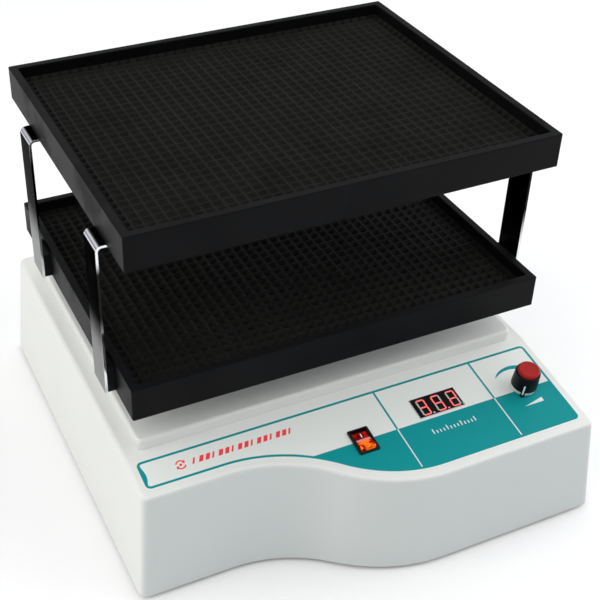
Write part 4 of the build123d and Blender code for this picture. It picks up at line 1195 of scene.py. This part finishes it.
# ----------------------------------------------------------------- studio
@dataclass
class Studio:
    """Floor, light and camera."""

    place: Spot = (-0.3606, -0.6968, 0.7153)
    heading: float = 24.72
    dip: float = 34.96
    roll: float = 0.55
    lens: float = 71.11
    shift: Place = (0.0968, -0.0604)
    floor_reach: float = 6.0
    glow: float = 1.12
    horizon: Colour = (0.24, 0.242, 0.245)
    zenith: Colour = (0.98, 0.99, 1.0)
    lamps: tuple[tuple[str, Spot, float, float, Colour], ...] = (
        ("left", (-1.5, 0.4, 1.0), 1.2, 5.5, (1.0, 0.96, 0.90)),
        ("high_left", (-0.9, -0.75, 1.3), 1.0, 3.4, (1.0, 0.995, 0.975)),
        ("high_right", (1.1, -0.7, 1.25), 1.0, 4.2, (0.97, 0.99, 1.0)),
        ("low_right", (1.5, -0.05, 0.45), 0.7, 4, (0.98, 0.99, 1.0)),
    )

    def camera(self) -> None:
        """Camera that looks from the front left and above."""
        data = bpy.data.cameras.new("view")
        data.lens = self.lens
        data.sensor_width = 36
        data.shift_x, data.shift_y = self.shift
        data.clip_start = 0.01
        view = bpy.data.objects.new("view", data)
        heading, dip = radians(self.heading), radians(self.dip)
        forward = Vector((sin(heading) * cos(dip), cos(heading) * cos(dip), -sin(dip)))
        right = Vector((cos(heading), -sin(heading), 0))
        up = right.cross(forward)
        turn = radians(self.roll)
        right, up = right * cos(turn) + up * sin(turn), up * cos(turn) - right * sin(turn)
        view.matrix_world = Matrix.Translation(Vector(self.place)) @ Matrix((
            (right.x, up.x, -forward.x), (right.y, up.y, -forward.y), (right.z, up.z, -forward.z),
        )).to_4x4()
        bpy.context.scene.collection.objects.link(view)
        bpy.context.scene.camera = view

    def lamp(self, name: str, place: Spot, size: float, power: float, tint: Colour) -> None:
        """One square soft box aimed at the object.

        Args:
            name: the lamp's name.
            place: where it stands.
            size: its side.
            power: watts.
            tint: its colour.
        """
        data = bpy.data.lights.new(name, "AREA")
        data.size = size
        data.energy = power
        data.color = tint
        box = bpy.data.objects.new(name, data)
        aim = (Vector((0, 0, 0.15)) - Vector(place)).to_track_quat("-Z", "Y")
        box.matrix_world = Matrix.Translation(Vector(place)) @ aim.to_matrix().to_4x4()
        bpy.context.scene.collection.objects.link(box)

    def surround(self) -> None:
        """World that brightens upwards, and stays dim low down in front."""
        world = bpy.data.worlds.new("surround")
        bpy.context.scene.world = world
        world.use_nodes = True
        background = next(node for node in world.node_tree.nodes if node.type == "BACKGROUND")
        sky = Tree(world.node_tree)
        toward = sky.add("SeparateXYZ", None, Vector=sky.add("TexCoord").outputs["Generated"]).outputs
        ahead = sky.band(toward[1], -0.95, -0.35)
        ahead = sky.math("MULTIPLY_ADD", ahead, 0.95, 0.05)
        light = sky.math("MULTIPLY", sky.band(toward[2], 0.0, 0.7), ahead)
        shade = sky.blend(light, self.horizon, self.zenith)
        world.node_tree.links.new(shade, background.inputs["Color"])
        background.inputs["Strength"].default_value = self.glow

    def floor(self) -> None:
        """Wide plain floor."""
        reach = self.floor_reach
        corners = [(-reach, -reach, 0), (reach, -reach, 0), (reach, reach, 0), (-reach, reach, 0)]
        mesh = bpy.data.meshes.new("floor")
        mesh.from_pydata(corners, [], [(0, 1, 2, 3)])
        mesh.materials.append(FLOOR.material())
        floor = bpy.data.objects.new("floor", mesh)
        bpy.context.scene.collection.objects.link(floor)

    def build(self) -> None:
        """Set up the camera, the soft boxes, the surround and the floor."""
        bpy.context.scene.view_settings.view_transform = "Standard"
        self.camera()
        for lamp in self.lamps:
            self.lamp(*lamp)
        self.surround()
        self.floor()


# ------------------------------------------------------------------- main
def dress_nodes() -> None:
    """Give each CAD node that stays its finish."""
    for node, finish in NODE_FINISHES.items():
        target = frame["nodes"][node]
        target.data.materials.clear()
        target.data.materials.append(finish.material())
        LOG.info("%s dressed in %s", node, finish.name)


def main() -> None:
    """Build the studio, the panel, the controls and the trays."""
    logging.basicConfig(level=logging.INFO, format="%(name)s: %(message)s")
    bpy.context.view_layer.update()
    Studio().build()
    dress_nodes()
    panel = Panel()
    LabelPrint(panel).build()
    Display(panel).build()
    SpeedKnob(panel).build()
    Rocker(panel).build()
    for mat in ("lower_mat", "upper_mat"):
        Waffle(mat).build()
    for row in ("front", "back"):
        for side in ("left", "right"):
            eased(f"bracket_{row}_{side}", CHROME, 0.45 * MM, 3)


if __name__ == "__main__":
    main()
